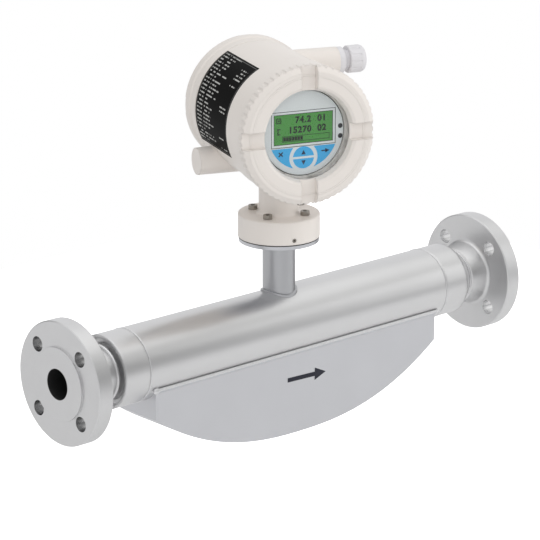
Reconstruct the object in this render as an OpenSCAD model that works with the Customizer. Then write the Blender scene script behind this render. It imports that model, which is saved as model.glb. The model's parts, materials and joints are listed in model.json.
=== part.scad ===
// Twin-tube mass flow meter: a flanged sensor with a welded belly casing, and a
// two-chamber transmitter that turns on its neck. Sizes are in millimetres.
// Origin: centre of the inlet flange's raised face. +X is the flow, +Z is up.

/* [Process connections] */
// Length over both flange faces
face_to_face = 534; // [524:1:560]
// Outside diameter of a flange
flange_od = 115; // [110:1:125]
// Thickness of a flange with its raised face
flange_t = 18; // [16:0.5:20]
// Diameter of the raised face
raised_face_d = 68; // [64:1:70]
// Height of the raised face
raised_face_h = 2; // [1:0.5:3]
// Diameter of the circle of bolt holes
bolt_circle_d = 85; // [83:0.5:88]
// Diameter of a bolt hole
bolt_hole_d = 14; // [11:0.5:15]
// Bolt holes in a flange
bolt_count = 4; // [4:4:8]
// Bore through the flanges
pipe_bore_d = 28.5; // [25:0.5:30]
// Diameter of the hub behind a flange
hub_d = 60; // [58:1:62]
// Diameter of the hub at its weld
hub_neck_d = 54; // [53:0.5:57]
// Length of the hub behind a flange
hub_len = 21; // [19:1:23]
// Radius of the fillet between flange and hub
hub_fillet = 4; // [2:0.5:5]

/* [Flow tubes] */
// Outside diameter of a measuring tube
tube_od = 18; // [16:0.5:19]
// Wall of a measuring tube
tube_wall = 1.2; // [0.8:0.1:1.6]
// Distance between the two tubes' axes
tube_pitch = 26; // [25:0.5:28]
// Depth of the tubes' bow below the pipe axis
tube_drop = 82; // [76:1:84]
// Distance from a flange face to a tube's end
tube_start = 84; // [82:1:86]
// Depth of a tube's seat in its splitter
tube_seat = 8; // [6:0.5:10]
// Diameter of a splitter
splitter_d = 52; // [50:0.5:52.5]
// Distance of a splitter's inner end from the flange face
splitter_end = 96; // [93:1:98]
// Thickness of a brace plate
brace_t = 2; // [1.5:0.5:3]
// Distance of the first brace plate from a tube's end
brace_start = 30; // [28:1:36]
// Distance between two brace plates
brace_pitch = 12; // [8:1:16]

/* [Casing] */
// Diameter of the casing
casing_d = 69.2; // [67:0.2:72]
// Wall of the casing
casing_wall = 3; // [2:0.5:4]
// Distance of a casing end from its flange face
casing_start = 51; // [49:1:54]
// Length of a casing end ring
end_ring_len = 29; // [26:1:32]
// Depth of the recess in a casing end
end_recess = 5; // [3:0.5:8]
// Thickness of the web in a casing end
end_web_t = 10; // [6:1:14]
// Depth of the groove at a casing weld
seam_groove = 0.8; // [0.4:0.1:1.2]

/* [Belly] */
// Width over the belly's side plates
belly_w = 56; // [54:1:58]
// Thickness of the belly's sheet
belly_t = 2.5; // [2:0.1:3]
// Distance from a tube's end to the belly's end
belly_inset = 6; // [4:0.5:8]
// Depth of the belly's straight ends below the pipe axis
belly_end_z = 48.5; // [44:0.5:52]
// Depth of the belly below the pipe axis
belly_z = 100.5; // [99:0.5:108]
// Fullness of the belly's curve
belly_fullness = 2.4; // [2:0.1:2.8]
// Radius of the weld along the belly's top edge
belly_weld_r = 2.2; // [1.5:0.1:2.8]

/* [Neck] */
// Offset of the neck from the middle of the meter
neck_offset = -2.5; // [-6:0.5:6]
// Diameter of the neck tube
neck_d = 30.7; // [28:0.1:33]
// Wall of the neck tube
neck_wall = 2.5; // [2:0.1:3.5]
// Height of the neck plate's top above the pipe axis
neck_top_z = 86; // [80:1:95]
// Thickness of the neck plate
plate_t = 3.5; // [3:0.5:5]
// Diameter of the neck plate
plate_d = 75.4; // [73:0.2:76]
// Thickness of the gasket on the neck plate
gasket_t = 1; // [0.6:0.1:1.5]
// Diameter of the swivel spigot
spigot_d = 36; // [34:0.5:38]
// Width of the lip on the swivel spigot
spigot_lip = 3.5; // [2.5:0.5:4]
// Thickness of the lip on the swivel spigot
spigot_lip_t = 3; // [2:0.5:4]

/* [Transmitter housing] */
// Height of the housing's axis above the pipe axis
axis_z = 199; // [196:1:206]
// Turn of the housing on its neck, at rest
housing_yaw = -20; // [-45:1:45]
// Diameter of the threaded collars that carry the covers
collar_d = 111; // [109:0.5:112]
// Step from a collar out to the housing
housing_step = 5.7; // [5:0.1:6.5]
// Distance from the neck axis to the housing's front shoulder
housing_front = 26; // [24:1:30]
// Distance from the neck axis to the housing's rear shoulder
housing_rear = 57; // [56:1:62]
// Wall of the housing
housing_wall = 5.5; // [4.5:0.5:6.5]
// Length of the front collar
front_collar_len = 31; // [29:1:31]
// Length of the rear collar
rear_collar_len = 16; // [13:1:17]
// Distance of the partition's front face behind the neck axis
partition_y = 15; // [14.5:0.5:16]
// Thickness of the partition between the chambers
partition_t = 4; // [3:0.5:4.5]
// Diameter of the housing's foot
foot_d = 76.8; // [76:0.2:80]
// Height of the housing's foot
foot_h = 22; // [20:1:25]
// Thickness of the foot's roof
foot_roof = 10; // [8:0.5:11]
// Wall of the foot
foot_wall = 5; // [4:0.5:6]
// Diameter of the housing's neck
foot_neck_d = 37.5; // [35:0.5:39]
// Radius of the fillet between foot and neck
foot_fillet = 4; // [2:0.5:5]
// Bore for the wires through the neck
wire_bore_d = 20; // [16:1:22]
// Diameter of the circle of foot screws
foot_screw_circle_d = 52.6; // [51:0.2:54]
// Thread diameter of a foot screw
foot_screw_d = 5; // [4:1:6]

/* [Cable entries] */
// Depth of an entry's axis inside the housing's radius
entry_inset = 19.2; // [18.5:0.1:20.5]
// Distance of the entries behind the neck axis
entry_y = 31; // [30:0.5:34]
// Reach of an entry beyond the housing's radius
entry_reach = 8.8; // [6:0.2:12]
// Diameter of an entry boss
entry_d = 25.6; // [24:0.2:27]
// Tapped bore of the gland's entry
entry_bore_d = 18.5; // [17:0.5:19]
// Diameter of the gland's flange
gland_flange_d = 25; // [24:0.5:26]
// Thickness of the gland's flange
gland_flange_t = 5.2; // [4:0.2:7]
// Diameter of the gland's threaded neck
gland_neck_d = 19; // [18:0.5:20]
// Diameter of the gland nut
gland_nut_d = 26; // [25:0.5:28]
// Length of the gland nut
gland_nut_len = 17; // [15:1:20]
// Opening for the cable in the gland nut
cable_d = 9; // [7:0.5:11]

/* [Covers] */
// Wall of a cover's skirt
cover_wall = 7.3; // [6.5:0.1:8]
// Step from a cover's skirt out to its rim
rim_step = 1.8; // [1.4:0.1:2.5]
// Length of a cover's rim
rim_len = 12; // [10:0.5:14]
// Number of grip flutes round the front cover's rim
flute_count = 60; // [40:4:72]
// Radius of a grip flute
flute_r = 2.2; // [1.6:0.1:2.6]
// Depth of a grip flute
flute_depth = 1; // [0.8:0.1:1.6]
// Chamfer around a cover's face
cover_chamfer = 4; // [3:0.5:5]
// Distance from the neck axis to the front cover's face
cover_face = 74.5; // [73.5:0.5:78]
// Distance from the neck axis to the rear cover's face
rear_face = 84; // [83:1:88]
// Width of the slots for the cover spanner
slot_w = 15.5; // [12:0.5:18]
// Depth of the slots for the cover spanner
slot_depth = 6; // [3:0.5:7]
// Diameter of the window at the cover's face
window_d = 86.6; // [84:0.2:88]
// Diameter of the window at the glass
window_inner_d = 82.4; // [81:0.2:83]
// Diameter of the glass
glass_d = 88.6; // [87:0.2:92]
// Thickness of the glass
glass_t = 6; // [5:0.5:7]
// Recess of the glass behind the cover's face
glass_recess = 7.5; // [7:0.5:8]
// Bore of the ring that holds the glass
glass_ring_bore_d = 80.6; // [80:0.2:82]
// Thickness of a cover seal's cord
seal_cord_d = 2.6; // [2:0.1:3]

/* [Display] */
// Diameter of the display's face
display_d = 79; // [76:0.5:79.5]
// Depth of the display's case
display_case_t = 17; // [14:0.5:18]
// Distance from the neck axis to the display's face
display_face = 59.2; // [58.5:0.1:60]
// Width of the screen
screen_w = 61.7; // [58:0.1:63]
// Height of the screen
screen_h = 32.2; // [30:0.1:33]
// Height of the screen's middle above the housing's axis
screen_z = 4.2; // [3.5:0.1:5]
// Depth of the touch keys below the housing's axis
key_z = 23; // [22.5:0.1:24]
// Radius of the round pair of touch keys
key_r = 10.3; // [9:0.1:10.3]
// Gap between touch keys
key_gap = 2.1; // [1.5:0.1:3]
// Radius of the curve that bounds the side keys
key_outer_r = 34; // [32:0.1:36]
// Diameter of an infrared port
port_d = 4.6; // [3:0.1:5]
// Gap between the screen and an infrared port
port_gap = 3.05; // [2:0.05:4]
// Distance between the two infrared ports
port_spacing = 9.4; // [7:0.1:12]
// Distance of the ports' middle below the axis
port_drop = 1.4; // [0:0.1:3]

/* [Clearances] */
// Running clearance on turning fits
run_gap = 0.06; // [0.03:0.01:0.1]
// Clearance where one piece is set into another
set_gap = 0.05; // [0.02:0.01:0.1]
// Gap between faces that pass each other
face_gap = 0.5; // [0.3:0.1:0.8]

/* [Hidden] */
$fn = 96;
mid_x = face_to_face / 2;
neck_x = mid_x + neck_offset;
casing_r = casing_d / 2;
barrel_start = casing_start + end_ring_len;
web_start = casing_start + end_recess;
web_end = web_start + end_web_t;
hub_end = flange_t + hub_len;
splitter_r = splitter_d / 2;
half_w = belly_w / 2;
belly_len = face_to_face - 2 * (tube_start + belly_inset);

// Bow of the measuring tubes: one arc from splitter to splitter
bow_half = mid_x - tube_start;
bow_r = (pow(bow_half, 2) + pow(tube_drop, 2)) / (2 * tube_drop);
bow_angle = asin(bow_half / bow_r);
bow_centre_z = bow_r - tube_drop;
seat_angle = tube_seat / bow_r * 180 / PI;
pickoff_angle = bow_angle * 0.55;
fork_x = tube_start - tube_seat - 2;
fork_angle = 22;
fork_len = (tube_start - fork_x + 6) / cos(fork_angle);
coil_r = 7;
coil_bore_r = 4;
saddle_w = 10;
coil_lift = 11;
coil_face_gap = 1;
coil_z = -tube_drop + tube_od / 2 + coil_lift;
seat = 0.3;

// Heights on the neck
plate_bottom_z = neck_top_z - plate_t;
foot_z = neck_top_z + gasket_t;
foot_top_z = foot_z + foot_h;
roof_z = foot_top_z - foot_roof;
lip_top_z = roof_z - face_gap;
lip_z = lip_top_z - spigot_lip_t;
spigot_r = spigot_d / 2;
lip_r = spigot_r + spigot_lip;
foot_bore_r = foot_d / 2 - foot_wall;
foot_screw_head = foot_screw_d * 1.7;
grub_z = (foot_z + lip_z) / 2;
grub_r = 2;
screw_grip = 8;

// Stations along the housing's axis, positive to the front
collar_r = collar_d / 2;
housing_d = collar_d + 2 * housing_step;
cover_d = collar_d + 2 * cover_wall;
rim_d = cover_d + 2 * rim_step;
entry_x = housing_d / 2 + entry_reach;
entry_z = housing_d / 2 - entry_inset;
entry_depth = 40;
chamber_r = collar_r - housing_wall + 1;
front_end = housing_front + front_collar_len;
rear_end = -housing_rear - rear_collar_len;
cover_bore_r = collar_r + run_gap;
glass_front = cover_face - glass_recess;
glass_back = glass_front - glass_t;
cover_wall_back = front_end + face_gap;
rear_wall_front = rear_end - face_gap;
rear_skirt_d = cover_d - 3;
rear_rim_d = rim_d - 4;
carrier_r = chamber_r - 1;
carrier_back = -partition_y;
display_back = display_face - display_case_t;
pivot_r = 12;
pivot_len = 6;
carrier_front = display_back - set_gap;
lid_t = 3;
terminal_front = -partition_y - partition_t;
seal_r = collar_r + run_gap + seal_cord_d / 2;
seal_inset = 3;
front_skirt = housing_front + face_gap;
rear_skirt = housing_rear + face_gap;
lock_y = 53;
lock_r = 2;
lock_head_r = 3.5;
lock_head_len = 4.5;

steel = [0.72, 0.72, 0.71];
bright_steel = [0.80, 0.80, 0.79];
dark_steel = [0.45, 0.45, 0.46];
paint = [0.90, 0.88, 0.85];
grey_plastic = [0.84, 0.83, 0.84];
rubber = [0.10, 0.10, 0.10];
copper = [0.72, 0.45, 0.20];
board_green = [0.10, 0.40, 0.25];

// ---------- helpers ----------

// Points of an arc, from angle a0 to a1 in n steps
function arc(c, r, a0, a1, n = 8) =
    [for (i = [0:n]) c + r * [cos(a0 + (a1 - a0) * i / n), sin(a0 + (a1 - a0) * i / n)]];

// Turns a shape made along +Z so that it lies along +X
module along_x() rotate([90, 0, 90]) children();

// The outlet half is the inlet half seen in a mirror at mid-length
module at_outlet() translate([face_to_face, 0, 0]) mirror([1, 0, 0]) children();

// The housing's own frame: origin on its axis above the neck, front along -Y
module at_housing() translate([neck_x, 0, axis_z]) rotate([0, 0, housing_yaw]) children();

// A shape made along +Z lies along the housing's axis, +Z to the front
module along_axis() at_housing() rotate([90, 0, 0]) children();

// A shape made along +Z lies along the gland's axis, out to the right
module along_entry() at_housing() translate([0, entry_y, entry_z]) rotate([0, 90, 0]) children();

// A round piece between two stations
module disc(r, z0, z1) translate([0, 0, z0]) cylinder(r = r, h = z1 - z0);

module tube(r_out, r_in, z0, z1) difference() {
    disc(r_out, z0, z1);
    disc(r_in, z0 - 1, z1 + 1);
}

module casing_solid(r) along_x() cylinder(r = r, h = face_to_face);

// ---------- sensor: process connections ----------

module flange_profile() {
    hub_r = hub_d / 2;
    neck_r = hub_neck_d / 2;
    bore_r = pipe_bore_d / 2;
    polygon(concat(
        [[bore_r, 0], [raised_face_d / 2, 0], [raised_face_d / 2, raised_face_h]],
        [[flange_od / 2 - 1, raised_face_h], [flange_od / 2, raised_face_h + 1]],
        [[flange_od / 2, flange_t - 1], [flange_od / 2 - 1, flange_t]],
        arc([hub_r + hub_fillet, flange_t + hub_fillet], hub_fillet, 270, 180),
        [[neck_r, hub_end - 3], [neck_r - 1, hub_end - 2], [neck_r - 1, hub_end]],
        [[bore_r, hub_end]]
    ));
}

module flange() along_x() difference() {
    rotate_extrude() flange_profile();
    for (i = [0:bolt_count - 1])
        rotate([0, 0, 360 * (i + 0.5) / bolt_count])
            translate([bolt_circle_d / 2, 0, -1]) cylinder(d = bolt_hole_d, h = flange_t + 2);
}

module inlet_flange() color(bright_steel) flange();

module outlet_flange() color(bright_steel) at_outlet() flange();

// Cast splitter: a spigot through the casing's end, and a head whose slanted face takes
// the tubes. The entry bore forks into two passages, one to each tube.
module splitter() {
    head_r = casing_r - casing_wall - set_gap;
    weld_r = 2.4;
    passage_r = tube_od / 2 - tube_wall;
    difference() {
        along_x() union() {
            disc(splitter_r, hub_end, splitter_end);
            disc(head_r, web_end, splitter_end);
            translate([0, 0, casing_start - 2]) rotate_extrude()
                polygon(arc([splitter_r - weld_r / 2, 0], weld_r, -60, 60));
        }
        along_x() disc(pipe_bore_d / 2, hub_end - 1, fork_x);
        on_bow(bow_angle - seat_angle) translate([0, -casing_d, -casing_d])
            cube([casing_d, 2 * casing_d, 2 * casing_d]);
        for (side = [-1, 1]) {
            bow(side, tube_od / 2 + set_gap, bow_angle - seat_angle - 1, bow_angle);
            translate([tube_start, side * tube_pitch / 2, 0]) {
                sphere(r = passage_r + 0.6);
                rotate([0, -90, side * fork_angle]) cylinder(r = passage_r, h = fork_len);
            }
        }
    }
}

module inlet_splitter() color(steel) splitter();

module outlet_splitter() color(steel) at_outlet() splitter();

// ---------- sensor: casing ----------

// End ring: a short tube with a web that carries the splitter, recessed at its outer face
module casing_end() along_x() difference() {
    inner_r = casing_r - casing_wall;
    union() {
        tube(casing_r, inner_r, casing_start, barrel_start);
        tube(inner_r + 0.5, splitter_r + set_gap, web_start, web_end);
    }
    seam_cut(barrel_start);
}

// V groove around the casing at a station
module seam_cut(station) translate([0, 0, station]) rotate_extrude()
    polygon([
        [casing_r - seam_groove, 0],
        [casing_r + 1, seam_groove + 1], [casing_r + 1, -seam_groove - 1]
    ]);

module casing_end_inlet() color(steel) casing_end();

module casing_end_outlet() color(steel) at_outlet() casing_end();

// Main tube, open below to the belly and above to the neck
module casing_barrel() color(steel) difference() {
    along_x() tube(casing_r, casing_r - casing_wall, barrel_start, face_to_face - barrel_start);
    along_x() seam_cut(barrel_start);
    along_x() seam_cut(face_to_face - barrel_start);
    slot_len = belly_len - 2 * belly_t - 1;
    slot_half = half_w - belly_t - 0.1;
    translate([mid_x - slot_len / 2, -slot_half, -casing_d])
        cube([slot_len, 2 * slot_half, casing_d]);
    translate([neck_x, 0, 0]) cylinder(d = wire_bore_d, h = casing_d);
}

// Side view of the belly: straight ends and one full curve, drawn inset by t
function belly_outline(t, n = 56) =
    let (half = belly_len / 2 - t, drop = belly_z - belly_end_z, low = belly_end_z - t)
    concat(
        [[half, 0]],
        [for (i = [0:n]) let (u = 1 - 2 * i / n)
            [u * half, -low - drop * (1 - pow(abs(u), belly_fullness))]],
        [[-half, 0]]
    );

module belly_side(t, y0, y1)
    translate([mid_x, y1, 0]) rotate([90, 0, 0]) linear_extrude(y1 - y0) polygon(belly_outline(t));

module belly_plate() difference() {
    union() {
        belly_side(0, half_w - belly_t, half_w);
        weld_z = -sqrt(pow(casing_r, 2) - pow(half_w, 2));
        weld_len = belly_len - 2 * belly_weld_r;
        translate([mid_x - weld_len / 2, half_w, weld_z]) {
            along_x() cylinder(r = belly_weld_r, h = weld_len);
            sphere(r = belly_weld_r + 0.6);
        }
        translate([mid_x + weld_len / 2, half_w, weld_z]) sphere(r = belly_weld_r + 0.6);
    }
    casing_solid(casing_r);
}

module belly_plate_front() color(steel) mirror([0, 1, 0]) belly_plate();

module belly_plate_rear() color(steel) belly_plate();

// The bent strip between the side plates
module belly_strip() color(steel) difference() {
    belly_side(0, -half_w + belly_t, half_w - belly_t);
    belly_side(belly_t, -half_w, half_w);
    casing_solid(casing_r);
}

// ---------- sensor: measuring tubes ----------

// A place on the bow, turned with it; angle 0 is mid-length, and positive towards the inlet
module on_bow(angle) translate([mid_x, 0, bow_centre_z]) rotate([0, angle, 0])
    translate([0, 0, -bow_r]) children();

// A round bar or bore of radius r along the bow, between two angles
module bow(side, r, a0, a1, wall = 0)
    translate([mid_x, side * tube_pitch / 2, bow_centre_z]) rotate([90, 0, 0])
        rotate_extrude(angle = a1 - a0, start = 270 - a1) translate([bow_r, 0]) difference() {
            circle(r = r);
            if (wall > 0) circle(r = r - wall);
        }

module flow_tube(side) color(bright_steel)
    bow(side, tube_od / 2, -bow_angle, bow_angle, tube_wall);

module flow_tube_front() flow_tube(-1);

module flow_tube_rear() flow_tube(1);

module brace(angle) on_bow(angle) difference() {
    plate_h = tube_od + 6;
    plate_w = tube_pitch + tube_od + 2;
    translate([-brace_t / 2, -plate_w / 2, -plate_h / 2]) cube([brace_t, plate_w, plate_h]);
    for (side = [-1, 1]) tube_cut(side, 2 * brace_t);
}

// Plates that tie the tubes together near their ends
module brace_plates() color(steel)
    for (end = [-1, 1], i = [0:1])
        brace(end * (bow_angle - (brace_start + i * brace_pitch) / bow_r * 180 / PI));

// A sleeve's cut around a tube, over a length
module tube_cut(side, len) translate([-len / 2, side * tube_pitch / 2, 0]) along_x()
    cylinder(r = tube_od / 2 + set_gap, h = len);

// Saddle on a tube, with the post that carries a coil or a magnet
module saddle(side) difference() {
    translate([-saddle_w / 2, side * tube_pitch / 2 - saddle_w / 2, tube_od / 2 - 3])
        cube([saddle_w, saddle_w, coil_lift]);
    tube_cut(side, 2 * saddle_w);
}

// A round piece across the gap between the tubes, from y0 to y1, at the coils' height
module across(r, y0, y1) translate([0, y1, tube_od / 2 + coil_lift]) rotate([90, 0, 0])
    cylinder(r = r, h = y1 - y0);

module coil(angle) on_bow(angle) difference() {
    union() {
        saddle(-1);
        across(coil_r, -tube_pitch / 2 - 3, -coil_face_gap);
    }
    across(coil_bore_r, -tube_pitch / 2, 0);
}

module magnet(angle) on_bow(angle) {
    saddle(1);
    across(coil_r - 2, coil_face_gap + 1, tube_pitch / 2 + 3);
    across(coil_bore_r - 1, -coil_bore_r - 2, tube_pitch / 2 + 3);
}

module drive_coil() color(copper) coil(0);

module drive_magnet() color(dark_steel) magnet(0);

module pickoff_coils() color(copper) for (side = [-1, 1]) coil(side * pickoff_angle);

module pickoff_magnets() color(dark_steel) for (side = [-1, 1]) magnet(side * pickoff_angle);

// Small resistance thermometer strapped to the rear tube
probe_len = 12;
probe_w = 6;
module temperature_sensor() color(bright_steel) on_bow(-pickoff_angle / 2) difference() {
    translate([-probe_len / 2, tube_pitch / 2 - probe_w / 2, tube_od / 2 - 2])
        cube([probe_len, probe_w, probe_w - 1]);
    tube_cut(1, 2 * probe_len);
}

// Wires from the feedthrough to the drive coil
harness_r = 1.8;
harness_y = -6;
harness_z = coil_z + coil_r - seat;
module sensor_harness() color(rubber) translate([neck_x, harness_y, harness_z])
    cylinder(r = harness_r, h = plate_bottom_z - harness_z);

// ---------- neck ----------

module neck_tube() color(steel) difference() {
    union() {
        translate([neck_x, 0, 0]) cylinder(d = neck_d, h = plate_bottom_z);
        intersection() {
            translate([neck_x, 0, 0]) cylinder(d = neck_d + 4, h = plate_bottom_z);
            casing_solid(casing_r + 1.8);
        }
    }
    casing_solid(casing_r);
    translate([neck_x, 0, -1]) cylinder(d = neck_d - 2 * neck_wall, h = neck_top_z);
}

module neck_plate() color(steel) translate([neck_x, 0, 0])
    tube(plate_d / 2, neck_d / 2 - neck_wall, plate_bottom_z, neck_top_z);

module base_gasket() color(rubber) translate([neck_x, 0, 0])
    tube(foot_d / 2 - 0.4, foot_bore_r, neck_top_z, foot_z);

// Hollow journal that the housing turns on; its lip keeps the clamp ring down
module swivel_spigot() color(dark_steel) translate([neck_x, 0, 0]) difference() {
    union() {
        disc(spigot_r, neck_top_z, lip_top_z);
        disc(lip_r, lip_z, lip_top_z);
    }
    disc(neck_d / 2 - neck_wall, neck_top_z - 1, lip_top_z + 1);
}

// Sealed plug with the sensor's contacts
module feedthrough() color(dark_steel) translate([neck_x, 0, 0]) {
    disc(neck_d / 2 - neck_wall - set_gap, plate_bottom_z, lip_top_z - 2);
    for (i = [0:6]) rotate([0, 0, i * 360 / 7]) translate([6.5, 0, 0])
        disc(0.8, lip_top_z - 2.5, lip_top_z + 2);
}

// ---------- transmitter housing ----------

foot_screw_angles = [45, 135, 225, 315];

// Round boss from the housing's side, turned about its own axis
module entry_boss(side) rotate([0, side * 90, 0])
    cylinder(d1 = entry_d + 2, d2 = entry_d, h = entry_x);

// Foot, its fillet and the neck above it, as one turned shape
module foot_profile() polygon(concat(
    [[0, foot_z], [foot_d / 2, foot_z], [foot_d / 2, foot_top_z - 1.5]],
    arc([foot_d / 2 - 1.5, foot_top_z - 1.5], 1.5, 0, 90, 4),
    arc([foot_neck_d / 2 + foot_fillet, foot_top_z + foot_fillet], foot_fillet, 270, 180),
    [[foot_neck_d / 2, axis_z - housing_d / 2 - 3], [foot_neck_d / 2 + 5, axis_z - housing_d / 2 + 4]],
    [[foot_neck_d / 2 + 5, axis_z - housing_d / 4], [0, axis_z - housing_d / 4]]
));

module housing_outside() {
    along_axis() {
        disc(housing_d / 2, -housing_rear + 1, housing_front - 1);
        translate([0, 0, housing_front - 1]) cylinder(r1 = housing_d / 2, r2 = housing_d / 2 - 1, h = 1);
        translate([0, 0, -housing_rear]) cylinder(r1 = housing_d / 2 - 1, r2 = housing_d / 2, h = 1);
        disc(collar_r, rear_end, front_end);
    }
    translate([neck_x, 0, 0]) rotate_extrude() foot_profile();
    at_housing() {
        translate([0, entry_y, entry_z]) entry_boss(1);
        translate([0, entry_y, -entry_z]) entry_boss(-1);
    }
}

module housing() color(paint) difference() {
    housing_outside();
    along_axis() {
        disc(chamber_r, -partition_y, front_end + 1);
        disc(chamber_r, rear_end - 1, terminal_front);
    }
    along_entry() disc(entry_bore_d / 2, entry_x - entry_depth, entry_x + 1);
    translate([neck_x, 0, 0]) {
        disc(foot_bore_r, foot_z - 1, roof_z);
        disc(wire_bore_d / 2, foot_z - 1, axis_z - housing_d / 4);
        rotate([0, 0, housing_yaw]) {
            for (a = foot_screw_angles) rotate([0, 0, a]) translate([foot_screw_circle_d / 2, 0, 0])
                disc(foot_screw_d / 2 + 0.25, roof_z - 1, foot_top_z + 1);
            translate([0, 0, grub_z]) rotate([90, 0, 0]) cylinder(r = grub_r + set_gap, h = foot_d);
        }
    }
}

// Ring under the spigot's lip, pulled up into the foot by the four screws
module clamp_ring() color(dark_steel) translate([neck_x, 0, 0]) difference() {
    disc(foot_bore_r - set_gap, foot_z + face_gap, roof_z);
    disc(spigot_r + run_gap, foot_z, roof_z + 1);
    disc(lip_r + run_gap, lip_z - run_gap, roof_z + 1);
    rotate([0, 0, housing_yaw]) {
        for (a = foot_screw_angles) rotate([0, 0, a]) translate([foot_screw_circle_d / 2, 0, 0])
            disc(foot_screw_d / 2 + set_gap, foot_z, roof_z + 1);
        translate([0, 0, grub_z]) rotate([90, 0, 0]) cylinder(r = grub_r + set_gap, h = foot_d);
    }
}

module socket_screw(d, head_d, head_h, len) {
    difference() {
        cylinder(d = head_d, h = head_h);
        translate([0, 0, head_h * 0.4]) cylinder(d = d * 0.92, h = head_h, $fn = 6);
    }
    translate([0, 0, -len]) cylinder(d = d, h = len + 0.1);
}

module base_screws() color(dark_steel) translate([neck_x, 0, foot_top_z]) rotate([0, 0, housing_yaw])
    for (a = foot_screw_angles) rotate([0, 0, a]) translate([foot_screw_circle_d / 2, 0, 0])
        socket_screw(foot_screw_d, foot_screw_head, foot_screw_d * 0.8, foot_roof + screw_grip);

// Set screw that locks the housing on the spigot
module grub_screw() color(dark_steel) translate([neck_x, 0, grub_z]) rotate([0, 0, housing_yaw])
    rotate([90, 0, 0]) difference() {
        disc(grub_r, spigot_r + 0.1, foot_d / 2 - 0.6);
        translate([0, 0, foot_d / 2 - 2.5]) cylinder(r = 1, h = 3, $fn = 6);
    }

// Bare plate that wraps the housing's left side
plate_angles = [118, 206.5];
plate_ends = [-55, 24.5];
bond_t = 0.02;
label_t = 0.4;
module type_plate() color(rubber) along_axis() translate([0, 0, plate_ends[0]])
    rotate_extrude(angle = plate_angles[1] - plate_angles[0], start = plate_angles[0])
        translate([housing_d / 2 + bond_t, 0]) square([label_t, plate_ends[1] - plate_ends[0]]);

// ---------- inside the transmitter ----------

post_angles = [90, 210, 330];
bundle_r = 2.5;
bundle_bend_r = 9;
board_y = 20;
board_t = 1.6;
carrier_wall = 2.5;
carrier_floor = 3;
board_margin = 5;
post_r = 3;
post_inset = 12;

// Moulded cup that fills the front chamber and carries the boards
module electronics_carrier() color(rubber) along_axis() {
    difference() {
        disc(carrier_r, carrier_back, carrier_front - lid_t);
        disc(carrier_r - carrier_wall, carrier_back + carrier_floor, carrier_front);
        rotate([90, 0, 0]) cylinder(r = bundle_r + 0.5, h = carrier_r + 1);
    }
    for (a = post_angles) rotate([0, 0, a]) translate([carrier_r - post_inset, 0, 0])
        disc(post_r, carrier_back + carrier_floor - 0.1, board_y);
}

// Board with its processor, memory and connector: [x, y, width, height, depth]
board_parts = [[-22, -12, 26, 22, 4], [12, -8, 14, 14, 3], [-8, 20, 30, 8, 8]];
module main_board() color(board_green) along_axis() {
    disc(carrier_r - board_margin, board_y, board_y + board_t);
    for (p = board_parts) translate([p[0], p[1], board_y + board_t]) cube([p[2], p[3], p[4]]);
}

// Bundle of wires from the feedthrough up to the back of the main board
module signal_harness() color(rubber) {
    bend_z = axis_z - housing_d / 4;
    translate([neck_x, 0, 0]) disc(bundle_r, lip_top_z - 2, bend_z);
    at_housing() translate([0, 0, bend_z - axis_z]) {
        translate([0, -bundle_bend_r, 0]) rotate([90, 0, 90]) rotate_extrude(angle = 90)
            translate([bundle_bend_r, 0]) circle(r = bundle_r);
        translate([0, -bundle_bend_r, bundle_bend_r]) rotate([90, 0, 0])
            cylinder(r = bundle_r, h = board_y - bundle_bend_r);
    }
}

// Lid of the cup, with the pivot that the display plugs onto
module carrier_lid() color(rubber) along_axis() {
    disc(carrier_r, carrier_front - lid_t, carrier_front);
    disc(pivot_r, carrier_front - 0.1, carrier_front + pivot_len);
}

module terminal_carrier() color(grey_plastic) along_axis() difference() {
    disc(carrier_r, terminal_front - 4, terminal_front);
    for (side = [-1, 1])
        translate([side * fixing_x, 0, 0]) disc(2, terminal_front - 5, terminal_front + 1);
}

fixing_x = 38;
terminal_count = 10;
terminal_pitch = 6.4;
terminal_back = terminal_front - 4;
block_h = 16;
block_t = 14;
block_drop = 9;
screw_t = 3;
screw_sink = 10;

module at_terminals() for (i = [0:terminal_count - 1])
    translate([(i - (terminal_count - 1) / 2) * terminal_pitch, 0, terminal_back]) children();

// Screw terminals on the rear face of the partition
module terminal_block() color([0.25, 0.45, 0.30]) along_axis() difference() {
    w = terminal_count * terminal_pitch + 2;
    wire_w = terminal_pitch - 2;
    translate([-w / 2, -block_drop, terminal_back - block_t]) cube([w, block_h, block_t]);
    at_terminals() {
        translate([0, 2, -block_t - 1]) cylinder(d = wire_w, h = block_t + 1 - screw_sink + screw_t);
        translate([-wire_w / 2, -block_drop - 1, -block_t + 3]) cube([wire_w, block_drop - 1, 5]);
    }
}

module terminal_screws() color(bright_steel) along_axis() at_terminals()
    translate([0, 2, -screw_sink]) difference() {
        cylinder(d = terminal_pitch - 2.4, h = screw_t);
        translate([-terminal_pitch / 2, -0.4, -1]) cube([terminal_pitch, 0.8, 2]);
    }

// ---------- cable gland ----------

gland_plug = 10;
gland_neck_len = 5.5;
gland_neck_end = entry_x + gland_flange_t + gland_neck_len;
gland_nut_end = gland_neck_end + gland_nut_len;
cage_end = gland_nut_end - 5;
cage_taper = 5;
cage_r = gland_neck_d / 2 - 2;
seal_bore_r = cable_d / 2 + 2.2;
slip_t = 1.5;

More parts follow.
